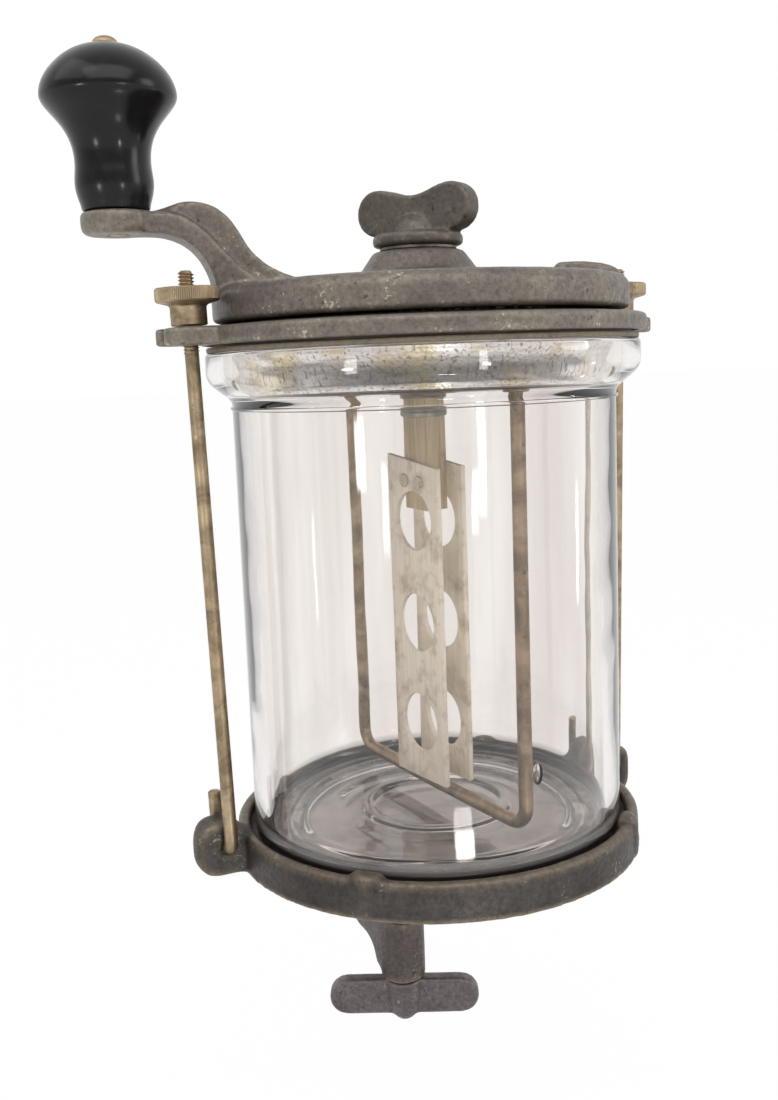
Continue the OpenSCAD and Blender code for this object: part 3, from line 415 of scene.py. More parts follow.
# The clamp's arm takes a paler tone below this height; its darker part just under the base is partly painted
# shade
ARM_PALER_BELOW = (-12, "#544b4a")
finishes = {
    "base_iron": cast_iron("worn_base_iron", "#45403c", "#322d2b", "#8d7f6b", "#a9a191", 2.1, 0.45,
                           [EAR_TOP], BASE_DUST_AND_LIGHT, ARM_PALER_BELOW),
    "top_iron": cast_iron("worn_top_iron", "#777065", "#5d5451", "#9d9486", "#cdc6b8", 0.8, 0.55,
                          [LID_EDGE, WHEEL_EDGE]),
    "nut_iron": cast_iron("handled_nut_iron", "#665f57", "#564f4a", "#857b6f", "#a59c8c", 0.9, 0.3),
    "clamp_iron": cast_iron("bare_clamp_iron", "#716868", "#534c4d", "#958a89", "#bdb4b1", 1.3, 0.4),
}
print("Iron finishes", ", ".join(finishes))

# %% [markdown]
# ## Brass and steel
# The rods, finger nuts and wire are drawn and turned brass that has gone brown, with a warm gleam left
# where it is handled. The screw and the gears are oiled steel, the bush and ferrule are dull sleeves,
# and the rivets in the slats wear a film of dried milk. All are metals, so they share one recipe: a
# bright metal, a dull film over it in clouds, and spots that are no longer metal.

# %% Metal finishes
SPOT_DEPTH = 0.15


def aged_metal(name, bright, film, spot, cloud_mm, spot_mm, spot_from, shine, bump_share):
    """A metal under a patchy film that dulls its gleam, with rough spots of corrosion."""
    material, tree, place = new_finish(name)
    cloud = add(tree, "TexNoise", {"Vector": place, "Scale": per_size(cloud_mm), "Detail": 6,
                                   "Roughness": 0.7, "Distortion": 0.6})
    filmed = add(tree, "MapRange", {"Value": cloud, "From Min": 0.38, "From Max": 0.62})
    spots = add(tree, "TexNoise", {"Vector": place, "Scale": per_size(spot_mm), "Detail": 4,
                                   "Roughness": 0.6})
    spotted = add(tree, "MapRange", {"Value": spots, "From Min": spot_from, "From Max": spot_from + 0.06})
    colour = coated(tree, bright, (filmed, film), (spotted, spot))
    metal = add(tree, "MapRange", {"Value": spotted, "To Min": 0.95, "To Max": 0.1})
    rough = add(tree, "MapRange", {"Value": cloud, "From Min": 0.3, "From Max": 0.7,
                                   "To Min": shine, "To Max": shine + 0.22})
    bump = add(tree, "Bump", {"Height": spots, "Strength": bump_share, "Distance": SPOT_DEPTH * MM})
    skin = add(tree, "BsdfPrincipled", {"Base Color": colour, "Metallic": metal, "Roughness": rough,
                                        "Normal": bump})
    add(tree, "OutputMaterial", {"Surface": skin})
    return material


# Each metal: name, bright, film and spot tones, cloud and spot sizes, where spots start, shine and bump
METALS = {
    "brass": ("tarnished_brass", "#b39f83", "#84745d", "#4d4236", 9, 2.2, 0.66, 0.36, 0.25),
    "dull_rivets": ("milk_dulled_rivets", "#c9c0aa", "#ada38f", "#cfc3ad", 4, 1.5, 0.4, 0.5, 0.2),
    "steel": ("oiled_steel", "#8d8780", "#645c55", "#3b332d", 9, 2.5, 0.66, 0.38, 0.35),
    "dull_sleeve": ("dulled_sleeves", "#a49d94", "#787169", "#4c4640", 5, 1.5, 0.64, 0.36, 0.3),
}
finishes.update({key: aged_metal(*numbers) for key, numbers in METALS.items()})
print("Metal finishes", ", ".join(METALS))

# %% [markdown]
# ## Tinned sheet
# The pan under the lid is spun from tinned sheet: bright, but clouded with gold, streaked with grey along
# its turning and spotted with rust. Its floor hangs in the jar's damp, so it is dull. Its rim, under the
# lid, is dull and darkened with painted shade. The streaks are noise that is squeezed upright, and height
# finds the floor and the rim.

# %% Tin finish
GOLD_MM = 11
STREAK_MM = (20, 20, 1.8)
RUST_MM = 0.9
RUST_DEPTH = 0.1
# Heights above the floor and below the rim between which the tin turns dull, in millimetres; at the rim it is
# also darkened with painted shade under the lid
DULL_FLOOR = (1.1, 0.4)
DULL_AND_SHADED_RIM = (1.6, 0.7)


def tinned_sheet(name, floor_height, rim_height):
    """Bright tin with gold and grey patina and rust spots, dull at its floor, and dull and darkened with
    painted shade at its rim.
    """
    material, tree, place = new_finish(name)
    height = add(tree, "SeparateXYZ", {0: place}).outputs["Z"]
    cloud = add(tree, "TexNoise", {"Vector": place, "Scale": per_size(GOLD_MM), "Detail": 4})
    golden = add(tree, "MapRange", {"Value": cloud, "From Min": 0.48, "From Max": 0.68, "To Max": 0.8})
    squeezed = add(tree, "Mapping", {"Vector": place, "Scale": [per_size(x) for x in STREAK_MM]})
    streak = add(tree, "TexNoise", {"Vector": squeezed, "Scale": 1, "Detail": 4})
    streaked = add(tree, "MapRange", {"Value": streak, "From Min": 0.5, "From Max": 0.66, "To Max": 0.5})
    rust = add(tree, "TexNoise", {"Vector": place, "Scale": per_size(RUST_MM), "Detail": 4,
                                  "Roughness": 0.7})
    rusty = add(tree, "MapRange", {"Value": rust, "From Min": 0.53, "From Max": 0.64, "To Max": 0.75})
    low, high = [add(tree, "MapRange", {"Value": height, "From Min": start, "From Max": end})
                 for start, end in ([floor_height + up * MM for up in DULL_FLOOR],
                                    [rim_height - down * MM for down in DULL_AND_SHADED_RIM])]
    # The dark tone at the rim is painted shade under the lid; the grey at the floor is patina
    colour = coated(tree, WHITE, (golden, "#ecdcab"), (streaked, "#a59b8a"), (rusty, "#6f6048"),
                    (low, "#857d74"), (high, "#4a4239"))
    dulled = add(tree, "Math", {0: low, 1: high}, operation="MAXIMUM")
    rough = add(tree, "MapRange", {"Value": dulled, "To Min": 0.14, "To Max": 0.45})
    bump = add(tree, "Bump", {"Height": rust, "Strength": 0.4, "Distance": RUST_DEPTH * MM})
    tin = add(tree, "BsdfPrincipled", {"Base Color": colour, "Metallic": 0.75, "Roughness": rough,
                                       "Normal": bump})
    add(tree, "OutputMaterial", {"Surface": tin})
    return material


pan_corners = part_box("splash_pan")
finishes["tin"] = tinned_sheet("tinned_sheet", pan_corners[0][2], pan_corners[1][2])
print("Tin turns dull near", [round(corner[2], 4) for corner in pan_corners])

# %% [markdown]
# ## Glass
# Old pressed glass is clear with a breath of lilac, hazy in upright streaks, and its skin waves a little,
# so what stands behind it bends. Round its foot, where it sits in the iron, it is darkened brown: partly
# by grime, and partly by painted shade of the base's rim. A darker tint would spoil the clear wall, so
# the band is kept to the outer side of the foot, by height and by distance from the axis, and lets little
# light through.

# %% Glass finish
# Heights and radii between which the grime and painted shade at the jar's foot fade in, in millimetres
GRIME_AND_SHADE_TOP, GRIME_AND_SHADE_LOW = 15.5, 11
GRIME_AND_SHADE_IN, GRIME_AND_SHADE_OUT = 54.5, 56.5
HAZE_MM = (16, 16, 130)
WAVE_MM = 22
WAVE_DEPTH = 1.0


def pressed_glass(name):
    """Soda glass, IOR 1.5, with a faint wave in its skin, haze in streaks, and grime with painted shade round
    its foot.
    """
    material, tree, place = new_finish(name)
    height = add(tree, "SeparateXYZ", {0: place}).outputs["Z"]
    low = add(tree, "MapRange", {"Value": height, "From Min": GRIME_AND_SHADE_TOP * MM, "From Max": GRIME_AND_SHADE_LOW * MM})
    outer = add(tree, "MapRange", {"Value": from_axis(tree, place), "From Min": GRIME_AND_SHADE_IN * MM,
                                   "From Max": GRIME_AND_SHADE_OUT * MM})
    grime_and_shade = add(tree, "Math", {0: low, 1: outer}, operation="MULTIPLY")
    upright = add(tree, "Mapping", {"Vector": place, "Scale": [per_size(x) for x in HAZE_MM]})
    haze = add(tree, "TexNoise", {"Vector": upright, "Scale": 1, "Detail": 3})
    hazy = add(tree, "MapRange", {"Value": haze, "From Min": 0.36, "From Max": 0.62})
    # The foot's dark brown tint and its lower transmission are partly grime and partly painted shade of the
    # base's rim
    tint = coated(tree, "#fbf9f6", (hazy, "#efeae8"), (grime_and_shade, "#2d2724"))
    clear = add(tree, "MapRange", {"Value": grime_and_shade, "To Min": 1, "To Max": 0.35})
    wave = add(tree, "TexNoise", {"Vector": place, "Scale": per_size(WAVE_MM), "Detail": 1})
    bump = add(tree, "Bump", {"Height": wave, "Strength": 0.12, "Distance": WAVE_DEPTH * MM})
    glass = add(tree, "BsdfPrincipled", {"Base Color": tint, "Roughness": 0.0, "IOR": 1.5,
                                         "Transmission Weight": clear, "Normal": bump})
    add(tree, "OutputMaterial", {"Surface": glass})
    return material


finishes["glass"] = pressed_glass("pressed_glass")
# The band at the foot holds grime and painted shade
print("Grime on the glass below", GRIME_AND_SHADE_TOP, "mm")

# %% [markdown]
# ## Enamel
# The knob is turned wood under thick black enamel. A plain glossy black would mirror the lamps too
# cleanly. Fine rubs soften the gloss in places, and shallow dents from the brush make it uneven.

# %% Enamel finish
RUB_MM = 5
DENT_MM = 4
DENT_DEPTH = 0.2


def black_enamel(name):
    """Thick black enamel on turned wood: glossy, dulled by fine rubs, with shallow dents."""
    material, tree, place = new_finish(name)
    rubs = add(tree, "TexNoise", {"Vector": place, "Scale": per_size(RUB_MM), "Detail": 8,
                                  "Roughness": 0.75})
    rough = add(tree, "MapRange", {"Value": rubs, "From Min": 0.35, "From Max": 0.7,
                                   "To Min": 0.15, "To Max": 0.32})
    tone = coated(tree, "#050506", (rubs, "#131216"))
    dents = add(tree, "TexNoise", {"Vector": place, "Scale": per_size(DENT_MM), "Detail": 2})
    bump = add(tree, "Bump", {"Height": dents, "Strength": 0.12, "Distance": DENT_DEPTH * MM})
    enamel = add(tree, "BsdfPrincipled", {"Base Color": tone, "Roughness": rough,
                                          "Specular IOR Level": 0.3, "Normal": bump})
    add(tree, "OutputMaterial", {"Surface": enamel})
    return material


finishes["knob_wood"] = black_enamel("black_enamel")
print("Enamel ready")

# %% [markdown]
# ## Wood and cork
# The dasher's stock is bare wood with a tight grain, and its slats are pale, milk-stained boards. Grain is
# noise that is drawn out along the board. The gasket is cork, whose grain is as wide as it is long, so it
# shares the recipe.

# %% Wood and cork finishes
STAIN_MM = 14
GROOVE_DEPTH = 0.2


def bare_wood(name, pale, dark, stain, grain_mm, run_mm, stain_from):
    """Bare wood, dull, with its grain upright and stained in patches."""
    material, tree, place = new_finish(name)
    fibre_mm = (grain_mm, grain_mm, run_mm)
    along = add(tree, "Mapping", {"Vector": place, "Scale": [per_size(x) for x in fibre_mm]})
    grain = add(tree, "TexNoise", {"Vector": along, "Scale": 1, "Detail": 6, "Roughness": 0.7})
    lines = add(tree, "MapRange", {"Value": grain, "From Min": 0.35, "From Max": 0.65})
    patch = add(tree, "TexNoise", {"Vector": place, "Scale": per_size(STAIN_MM), "Detail": 6,
                                   "Roughness": 0.7})
    stained = add(tree, "MapRange", {"Value": patch, "From Min": stain_from,
                                     "From Max": stain_from + 0.16})
    colour = coated(tree, dark, (lines, pale), (stained, stain))
    bump = add(tree, "Bump", {"Height": grain, "Strength": 0.3, "Distance": GROOVE_DEPTH * MM})
    wood = add(tree, "BsdfPrincipled", {"Base Color": colour, "Roughness": 0.68, "Normal": bump})
    add(tree, "OutputMaterial", {"Surface": wood})
    return material


finishes["stock_wood"] = bare_wood("olive_brown_stock", "#d8c5a2", "#ad9a75", "#7d6849", 0.9, 22, 0.58)
finishes["slat_wood"] = bare_wood("pale_slat_wood", "#fcf4e6", "#ebdfca", "#beae95", 1.2, 30, 0.5)
finishes["gasket"] = bare_wood("aged_cork", "#7d7160", "#645a4b", "#4a4136", 1.5, 1.5, 0.55)
print("Finishes", ", ".join(finishes))

# %% [markdown]
# ## Finishes on the imported solids
# Every imported solid has a slot in the record, so each gets that slot's finish. Pieces modelled below
# then stand for some of the solids, and take over their body, and their slot's finish or one of their own,
# with one function.

# %% Finishes by slot
slot_of = {part["node"]: part["material_slot"] for part in record["subparts"]}
body_of = {node: body for body, nodes in record["behaviour"]["bodies"].items() for node in nodes}
for node, solid in frame["nodes"].items():
    solid.data.materials.clear()
    solid.data.materials.append(finishes[slot_of[node]])


def stand_for(piece, node, finish=None):
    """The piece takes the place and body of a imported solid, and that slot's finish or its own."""
    piece.data.materials.clear()
    piece.data.materials.append(finishes[finish or slot_of[node]])
    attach(piece, body_of[node])
    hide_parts(node)
    print(piece.name, "stands for", node, "with", len(piece.data.polygons), "faces")


print(len(slot_of), "solids have their finish")

# %% [markdown]
# ## Modelling helpers
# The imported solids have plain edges, so the pieces that show are modelled again, as by hand. A few
# moves repeat: draw a chain of edges, turn it about an axis as on a lathe, close the result and put
# its place into its mesh. Operators act on all that is selected, so each helper starts with nothing
# selected.

# %% Selecting and finishing
# Points closer than this are one point, in millimetres
MERGE_MM = 0.004


def leave_edit():
    """Goes back to object mode."""
    if bpy.context.mode != "OBJECT":
        bpy.ops.object.mode_set(mode="OBJECT")


def deselect():
    """Leaves edit mode and selects nothing."""
    leave_edit()
    bpy.ops.object.select_all(action="DESELECT")


def take_up(piece):
    """Makes a piece the only selected one, and the active one."""
    deselect()
    piece.select_set(True)
    bpy.context.view_layer.objects.active = piece


def close_up():
    """Merges doubles and turns all faces outwards, in edit mode."""
    bpy.ops.mesh.select_all(action="SELECT")
    bpy.ops.mesh.remove_doubles(threshold=MERGE_MM * MM)
    bpy.ops.mesh.normals_make_consistent(inside=False)


def settle():
    """Puts the place, turn and scale of the piece that is taken up into its mesh."""
    bpy.ops.object.transform_apply(location=True, rotation=True, scale=True)


def finished(name, crease=35):
    """Leaves edit mode, names the piece, settles it and smooths it below an angle."""
    leave_edit()
    piece = bpy.context.object
    piece.name = name
    piece.data.name = name
    settle()
    bpy.ops.object.shade_smooth_by_angle(angle=math.radians(crease))
    return piece


def apply_modifier(piece, kind, **settings):
    """Adds a modifier to the piece that is taken up, and applies it."""
    modifier = piece.modifiers.new(kind.lower(), kind)
    for name, value in settings.items():
        setattr(modifier, name, value)
    bpy.ops.object.modifier_apply(modifier=modifier.name)


def joined(piece, *others):
    """One piece made of several."""
    take_up(piece)
    for other in others:
        other.select_set(True)
    bpy.ops.object.join()
    return piece


print("Finishing helpers ready")


# %% Drawing and turning
def span(node):
    """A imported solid's lowest and highest corners, in millimetres."""
    low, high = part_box(node)
    return Vector(low) / MM, Vector(high) / MM


def arc(centre, radius, start, end, steps):
    """Points of an arc about a centre, between two angles in degrees."""
    turns = [math.radians(start + (end - start) * i / steps) for i in range(steps + 1)]
    return [(centre[0] + radius * math.cos(turn), centre[1] + radius * math.sin(turn)) for turn in turns]


def curve(a, b, c, d, steps):
    """Points of a cubic curve with four control points."""
    shares = [i / steps for i in range(steps + 1)]
    weights = [((1 - t) ** 3, 3 * (1 - t) ** 2 * t, 3 * (1 - t) * t ** 2, t ** 3) for t in shares]
    return [tuple(sum(w * p[k] for w, p in zip(weight, (a, b, c, d))) for k in (0, 1)) for weight in weights]


def draw(points):
    """A chain of edges through points in millimetres, left in edit mode."""
    deselect()
    bpy.ops.mesh.primitive_plane_add(size=MM)
    bpy.ops.object.mode_set(mode="EDIT")
    bpy.ops.mesh.merge(type="CENTER")
    bpy.ops.transform.translate(value=Vector(points[0]) * MM)
    for here, there in zip(points, points[1:]):
        step = (Vector(there) - Vector(here)) * MM
        bpy.ops.mesh.extrude_vertices_move(TRANSFORM_OT_translate={"value": step})


def turned(name, profile, steps, axis=(0, 0), crease=35):
    """A lathe-turned piece about an upright axis. The profile is radius and height in millimetres."""
    draw([(radius, 0, height) for radius, height in profile])
    bpy.ops.mesh.select_all(action="SELECT")
    bpy.ops.mesh.spin(steps=steps, angle=math.tau, center=(0, 0, 0), axis=(0, 0, 1))
    close_up()
    bpy.ops.transform.translate(value=(axis[0] * MM, axis[1] * MM, 0))
    return finished(name, crease)


print("Drawing helpers ready")

# %% [markdown]
# ## The jar
# A pressed jar has one wall all round: a foot with a shallow punt, a straight body, a bead where the
# mould parted, a flared shoulder and a fire-polished lip. Its floor rises in a few moulded rings. One
# closed profile holds the outside and the inside, and turning it gives glass with a real thickness,
# which bends light as the jar does. An oval air bubble sits in the wall. Its faces look inwards,
# because the air is inside it.

# %% Jar
JAR_R = 58
JAR_WALL = 4.2
JAR_IN = JAR_R - JAR_WALL
LIP_REACH = 7.3
LIP_R = JAR_R + LIP_REACH
LIP_IN = LIP_R - JAR_WALL
LIP_H = 6
LIP_ROUND = 1.4
FLARE_H = 9.5
# The flare's bend: how far it leaves the wall, and its two turns as shares of its height
FLARE_EASE = 0.4
FLARE_LOW, FLARE_MIDDLE = 0.35, 0.5
FOOT_ROUND = 5
PUNT = 1.5
PUNT_R = JAR_R - 3 * FOOT_ROUND
PUNT_EASE = 2
BEAD = 0.6
FLOOR_T = 6.5
FLOOR_ROUND = 4
FLOOR_STEP = 0.8
RING_HALF = 3.6
# Each ring: its radius, and the floor's rise outside it, on its crest and inside it, in steps
RINGS = ((44.8, 0, 1.3, 0.8), (33, 1, 1.2, 1), (22, 1, 1.8, 1.2))
MIDDLE_RISE = 1.8
jar_low, jar_high = span("jar")
foot_z, lip_z = jar_low.z, jar_high.z
floor_z = foot_z + FLOOR_T
flare_z = lip_z - LIP_H - FLARE_H
flare_top = flare_z + FLARE_H
inner_flare = flare_z - JAR_WALL / 4


def floor_ring(radius, before, crest, after):
    """Points of a moulded ring in the jar's floor, from its outer to its inner side."""
    outer, half_out, half_in, inner = [radius + RING_HALF * share for share in (1, 0.5, -0.5, -1)]
    return (curve((outer, before), (half_out, before), (half_out, crest), (radius, crest), 10)
            + curve((radius, crest), (half_in, crest), (half_in, after), (inner, after), 10))


outside = (
    [(0, foot_z + PUNT)]
    + curve((PUNT_R - PUNT_EASE, foot_z + PUNT), (PUNT_R, foot_z + PUNT), (PUNT_R, foot_z),
            (PUNT_R + PUNT_EASE, foot_z), 6)
    + arc((JAR_R - FOOT_ROUND, foot_z + FOOT_ROUND), FOOT_ROUND, -90, 0, 12)
    + [(JAR_R, flare_z - 3 * BEAD)]
    + arc((JAR_R, flare_z - 1.5 * BEAD), BEAD, -90, 90, 8)
    + curve((JAR_R, flare_z), (JAR_R + FLARE_EASE, flare_z + FLARE_H * FLARE_LOW),
            (LIP_R, flare_z + FLARE_H * FLARE_MIDDLE), (LIP_R, flare_top), 20)
    + arc((LIP_R - LIP_ROUND, lip_z - LIP_ROUND), LIP_ROUND, 0, 90, 6)
)
inside = (
    arc((LIP_IN + LIP_ROUND, lip_z - LIP_ROUND), LIP_ROUND, 90, 180, 6)
    + curve((LIP_IN, flare_top), (LIP_IN, flare_z + FLARE_H * FLARE_MIDDLE),
            (JAR_IN + FLARE_EASE, inner_flare + FLARE_H * FLARE_LOW), (JAR_IN, inner_flare), 20)
    + arc((JAR_IN - FLOOR_ROUND, floor_z + FLOOR_ROUND), FLOOR_ROUND, 0, -90, 12)
)
for radius, *rises in RINGS:
    inside += floor_ring(radius, *[floor_z + rise * FLOOR_STEP for rise in rises])
inside.append((0, floor_z + MIDDLE_RISE * FLOOR_STEP))
jar = turned("glass_jar", outside + inside, steps=192, crease=60)
print("Jar profile has", len(outside + inside), "points")

# %% Air bubble
BUBBLE_TURN = math.radians(-86)
BUBBLE_Z = 37
BUBBLE_HALF = (1.1, 1.6, 3.2)
bubble_r = JAR_R - JAR_WALL / 2
deselect()
bpy.ops.mesh.primitive_uv_sphere_add(segments=24, ring_count=16, radius=MM)
bubble = bpy.context.object
bpy.ops.object.mode_set(mode="EDIT")
bpy.ops.transform.resize(value=BUBBLE_HALF)
bpy.ops.mesh.flip_normals()
bpy.ops.object.mode_set(mode="OBJECT")
bubble.rotation_euler = (0, 0, BUBBLE_TURN)
bubble.location = Vector((bubble_r * math.cos(BUBBLE_TURN), bubble_r * math.sin(BUBBLE_TURN), BUBBLE_Z)) * MM
bubble = finished("air_bubble", crease=60)
stand_for(joined(jar, bubble), "jar")

# %% [markdown]
# ## The knob and its rivet
# The knob is turned wood: a slim neck that swells to a mushroom head. The rivet that it spins on has a
# round head on top and is hammered flat under the crank's boss. Both are lathe profiles on one axis,
# which the frame gives.

# %% Knob
KNOB_R = 18.8
NECK_R = 10.5
BULGE_R = 10.9
KNOB_FOOT_R = 9.5
KNOB_FOOT = 0.9
# How far the neck flares out above the foot, at two heights
FOOT_FLARE = (0.2, 0.7)
# Heights of the widest place, the neck and the bulge below it, and of an eased turn, as shares of the knob's
WIDE_SHARE, NECK_SHARE, BULGE_SHARE, EASE_SHARE = 0.7, 0.3, 0.17, 0.05
# Where the head's underside and its crown turn, as shares of their rise and width
SWELL_LOW, SWELL_HIGH = 0.6, 0.77
CROWN_SIDE, CROWN_TOP = 0.46, 0.45
RIVET_HEAD_R = 3.5
knob_low, knob_high = span("knob")
knob_axis = ((knob_low.x + knob_high.x) / 2, (knob_low.y + knob_high.y) / 2)
knob_z, knob_top = knob_low.z, knob_high.z
knob_h = knob_top - knob_z
wide_z, neck_z, bulge_z = [knob_z + share * knob_h for share in (WIDE_SHARE, NECK_SHARE, BULGE_SHARE)]
ease = EASE_SHARE * knob_h
rise = wide_z - neck_z
knob_profile = (
    [(0, knob_z)]
    + arc((KNOB_FOOT_R - KNOB_FOOT, knob_z + KNOB_FOOT), KNOB_FOOT, -90, -15, 8)
    + curve((KNOB_FOOT_R + FOOT_FLARE[0], knob_z + 2 * KNOB_FOOT),
            (KNOB_FOOT_R + FOOT_FLARE[1], knob_z + 1.5 * ease), (BULGE_R, bulge_z - ease),
            (BULGE_R, bulge_z), 10)
    + curve((BULGE_R, bulge_z), (BULGE_R, bulge_z + ease), (NECK_R, neck_z - ease), (NECK_R, neck_z), 10)
    + curve((NECK_R, neck_z), (NECK_R, neck_z + SWELL_LOW * rise), (KNOB_R, neck_z + SWELL_HIGH * rise),
            (KNOB_R, wide_z), 28)
    + curve((KNOB_R, wide_z), (KNOB_R, wide_z + CROWN_SIDE * (knob_top - wide_z)),
            (RIVET_HEAD_R + CROWN_TOP * (KNOB_R - RIVET_HEAD_R), knob_top), (RIVET_HEAD_R, knob_top), 28)
    + [(0, knob_top)]
)
stand_for(turned("turned_knob", knob_profile, 128, knob_axis, 50), "knob")

# %% Rivet
RIVET_R = 2.6
RIVET_EDGE = 0.4
HEAD_EDGE = 0.3
RIVET_DOME = 2.4
DOME_FULL = 0.75
rivet_low, rivet_high = span("knob_rivet")
head_z = rivet_high.z - RIVET_DOME
rivet_profile = (
    [(0, rivet_low.z), (RIVET_R - RIVET_EDGE, rivet_low.z), (RIVET_R, rivet_low.z + RIVET_EDGE)]
    + [(RIVET_R, head_z), (RIVET_HEAD_R - HEAD_EDGE, head_z)]
    + curve((RIVET_HEAD_R, head_z + HEAD_EDGE), (RIVET_HEAD_R, head_z + DOME_FULL * RIVET_DOME),
            (RIVET_HEAD_R / 2, rivet_high.z), (0, rivet_high.z), 12)
)
stand_for(turned("domed_rivet", rivet_profile, 64, knob_axis, 50), "knob_rivet")

# %% [markdown]
# ## The castings
# A sand casting has no sharp edge and no truly flat face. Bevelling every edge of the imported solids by
# hand would take long and would miss the blends where a rib runs into a plate. So each casting is a
# copy of its solid: its loose triangles are merged, it is remeshed in small even faces, smoothed until
# the edges are as soft as the real ones, and pushed in and out a little by a cloud pattern.

# %% Castings
# Each casting: size of its new faces and how far the sand's unevenness moves them, in millimetres,
# and how often it is smoothed
CASTINGS = {
    "base_casting": (0.75, 0.14, 22),
    "lid_plate": (0.72, 0.12, 8),
    "drive_wheel": (0.75, 0.16, 10),
    "wing_nut": (0.4, 0.12, 40),
    "clamp_wing": (0.4, 0.12, 40),
    "clamp_pad": (0.45, 0.08, 4),
}
OWN_FINISH = {"wing_nut": "nut_iron", "clamp_wing": "clamp_iron"}
UNEVEN_MM = 6
unevenness = bpy.data.textures.new("sand_mould", "CLOUDS")
unevenness.noise_scale = UNEVEN_MM * MM
unevenness.noise_depth = 2


def solid_copy(node, name):
    """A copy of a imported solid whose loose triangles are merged, left in edit mode."""
    piece = bpy.data.objects.new(name, frame["nodes"][node].data.copy())
    bpy.context.scene.collection.objects.link(piece)
    take_up(piece)
    bpy.ops.object.mode_set(mode="EDIT")
    close_up()
    return piece


def cast(node, face, uneven, rounds):
    """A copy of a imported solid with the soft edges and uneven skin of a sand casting."""
    piece = solid_copy(node, f"{node}_cast")
    bpy.ops.object.mode_set(mode="OBJECT")
    apply_modifier(piece, "REMESH", mode="VOXEL", voxel_size=face * MM)
    apply_modifier(piece, "SMOOTH", factor=0.5, iterations=rounds)
    apply_modifier(piece, "DISPLACE", texture=unevenness, texture_coords="LOCAL", strength=uneven * MM,
                   mid_level=0.5)
    return finished(piece.name, crease=80)


for node, numbers in CASTINGS.items():
    stand_for(cast(node, *numbers), node, OWN_FINISH.get(node))

# %% [markdown]
# ## Bent stock and threads
# The swing rods and the wire are straight stock that was bent cold. By hand that is a round end, pulled
# along and then spun about the middle of each bend. The rods' tops and the clamp's screw carry threads:
# a small triangle is screwed upwards by a Screw modifier, and its two ends are filled. A thread that is
# only a bump would leave a smooth outline.


# %% Bending and threading
def round_end(radius, place, sides=32):
    """A filled circle in edit mode, from which stock is pulled. The size is in millimetres."""
    deselect()
    bpy.ops.mesh.primitive_circle_add(vertices=sides, radius=radius * MM, fill_type="NGON",
                                      location=Vector(place) * MM)
    bpy.ops.object.transform_apply(location=True)
    bpy.ops.object.mode_set(mode="EDIT")
    bpy.ops.mesh.select_all(action="SELECT")


def pull(x, y, z):
    """Pulls the selected end along, in millimetres."""
    bpy.ops.mesh.extrude_region_move(TRANSFORM_OT_translate={"value": (x * MM, y * MM, z * MM)})


def bend(centre, axis, degrees, steps=10):
    """Spins the selected end about a centre in millimetres, anticlockwise as seen against the axis."""
    bpy.ops.mesh.spin(steps=steps, angle=math.radians(-degrees), center=Vector(centre) * MM, axis=axis)


def widen(share, back=0):
    """Widens or narrows a level end about an upright axis that stands this far back, in millimetres."""
    bpy.ops.transform.resize(value=(share, share, 1), center_override=(0, back * MM, 0))


# Share of the pitch that a thread's triangle fills, how deep its root sinks into the stem, and its steps
THREAD_FILL = 0.96
THREAD_SINK = 0.1
THREAD_STEPS = 28


def thread(core, crest, pitch, low, high, axis=(0, 0)):
    """A thread from low to high about an upright axis: a triangle that is screwed up, with filled ends."""
    root = core - THREAD_SINK
    draw([(root, 0, low), (crest, 0, low + pitch / 2), (root, 0, low + THREAD_FILL * pitch), (root, 0, low)])
    close_up()
    bpy.ops.object.mode_set(mode="OBJECT")
    rounds = int((high - low) / pitch) - 1
    apply_modifier(bpy.context.object, "SCREW", screw_offset=pitch * MM, iterations=rounds,
                   steps=THREAD_STEPS, render_steps=THREAD_STEPS, use_merge_vertices=True)
    bpy.ops.object.mode_set(mode="EDIT")
    bpy.ops.mesh.select_all(action="SELECT")
    bpy.ops.mesh.fill_holes(sides=4)
    close_up()
    bpy.ops.transform.translate(value=(axis[0] * MM, axis[1] * MM, 0))
    return finished("thread", crease=40)


print("Bending and threading helpers ready")

# %% [markdown]
# ## The swing rods
# Each rod hangs by a hook in an ear of the base and leans a little outwards to the lid's fork. It is made
# upright, in a frame of its own that starts at the hook's pivot, because pulling and spinning are
# simple there. Then it is leaned into place, and a mirrored copy gives the left rod.

# %% Swing rods
ROD_R = 2.0
ROD_PIVOT = (68.6, 0, 9)
# How far the rod leans outwards over how much height
ROD_OUT, ROD_RISE = 3.2, 162.8
ROD_LEAN = math.atan(ROD_OUT / ROD_RISE)
ROD_LENGTH = 169.63
ROD_CHAMFER = 0.4
THREAD_LENGTH = 24
THREAD_CREST = 2.3
THREAD_CORE = 1.7
ROD_PITCH = 0.95
HOOK_BEND = 3.2
HOOK_REACH = 14.8
HOOK_TAIL = 14


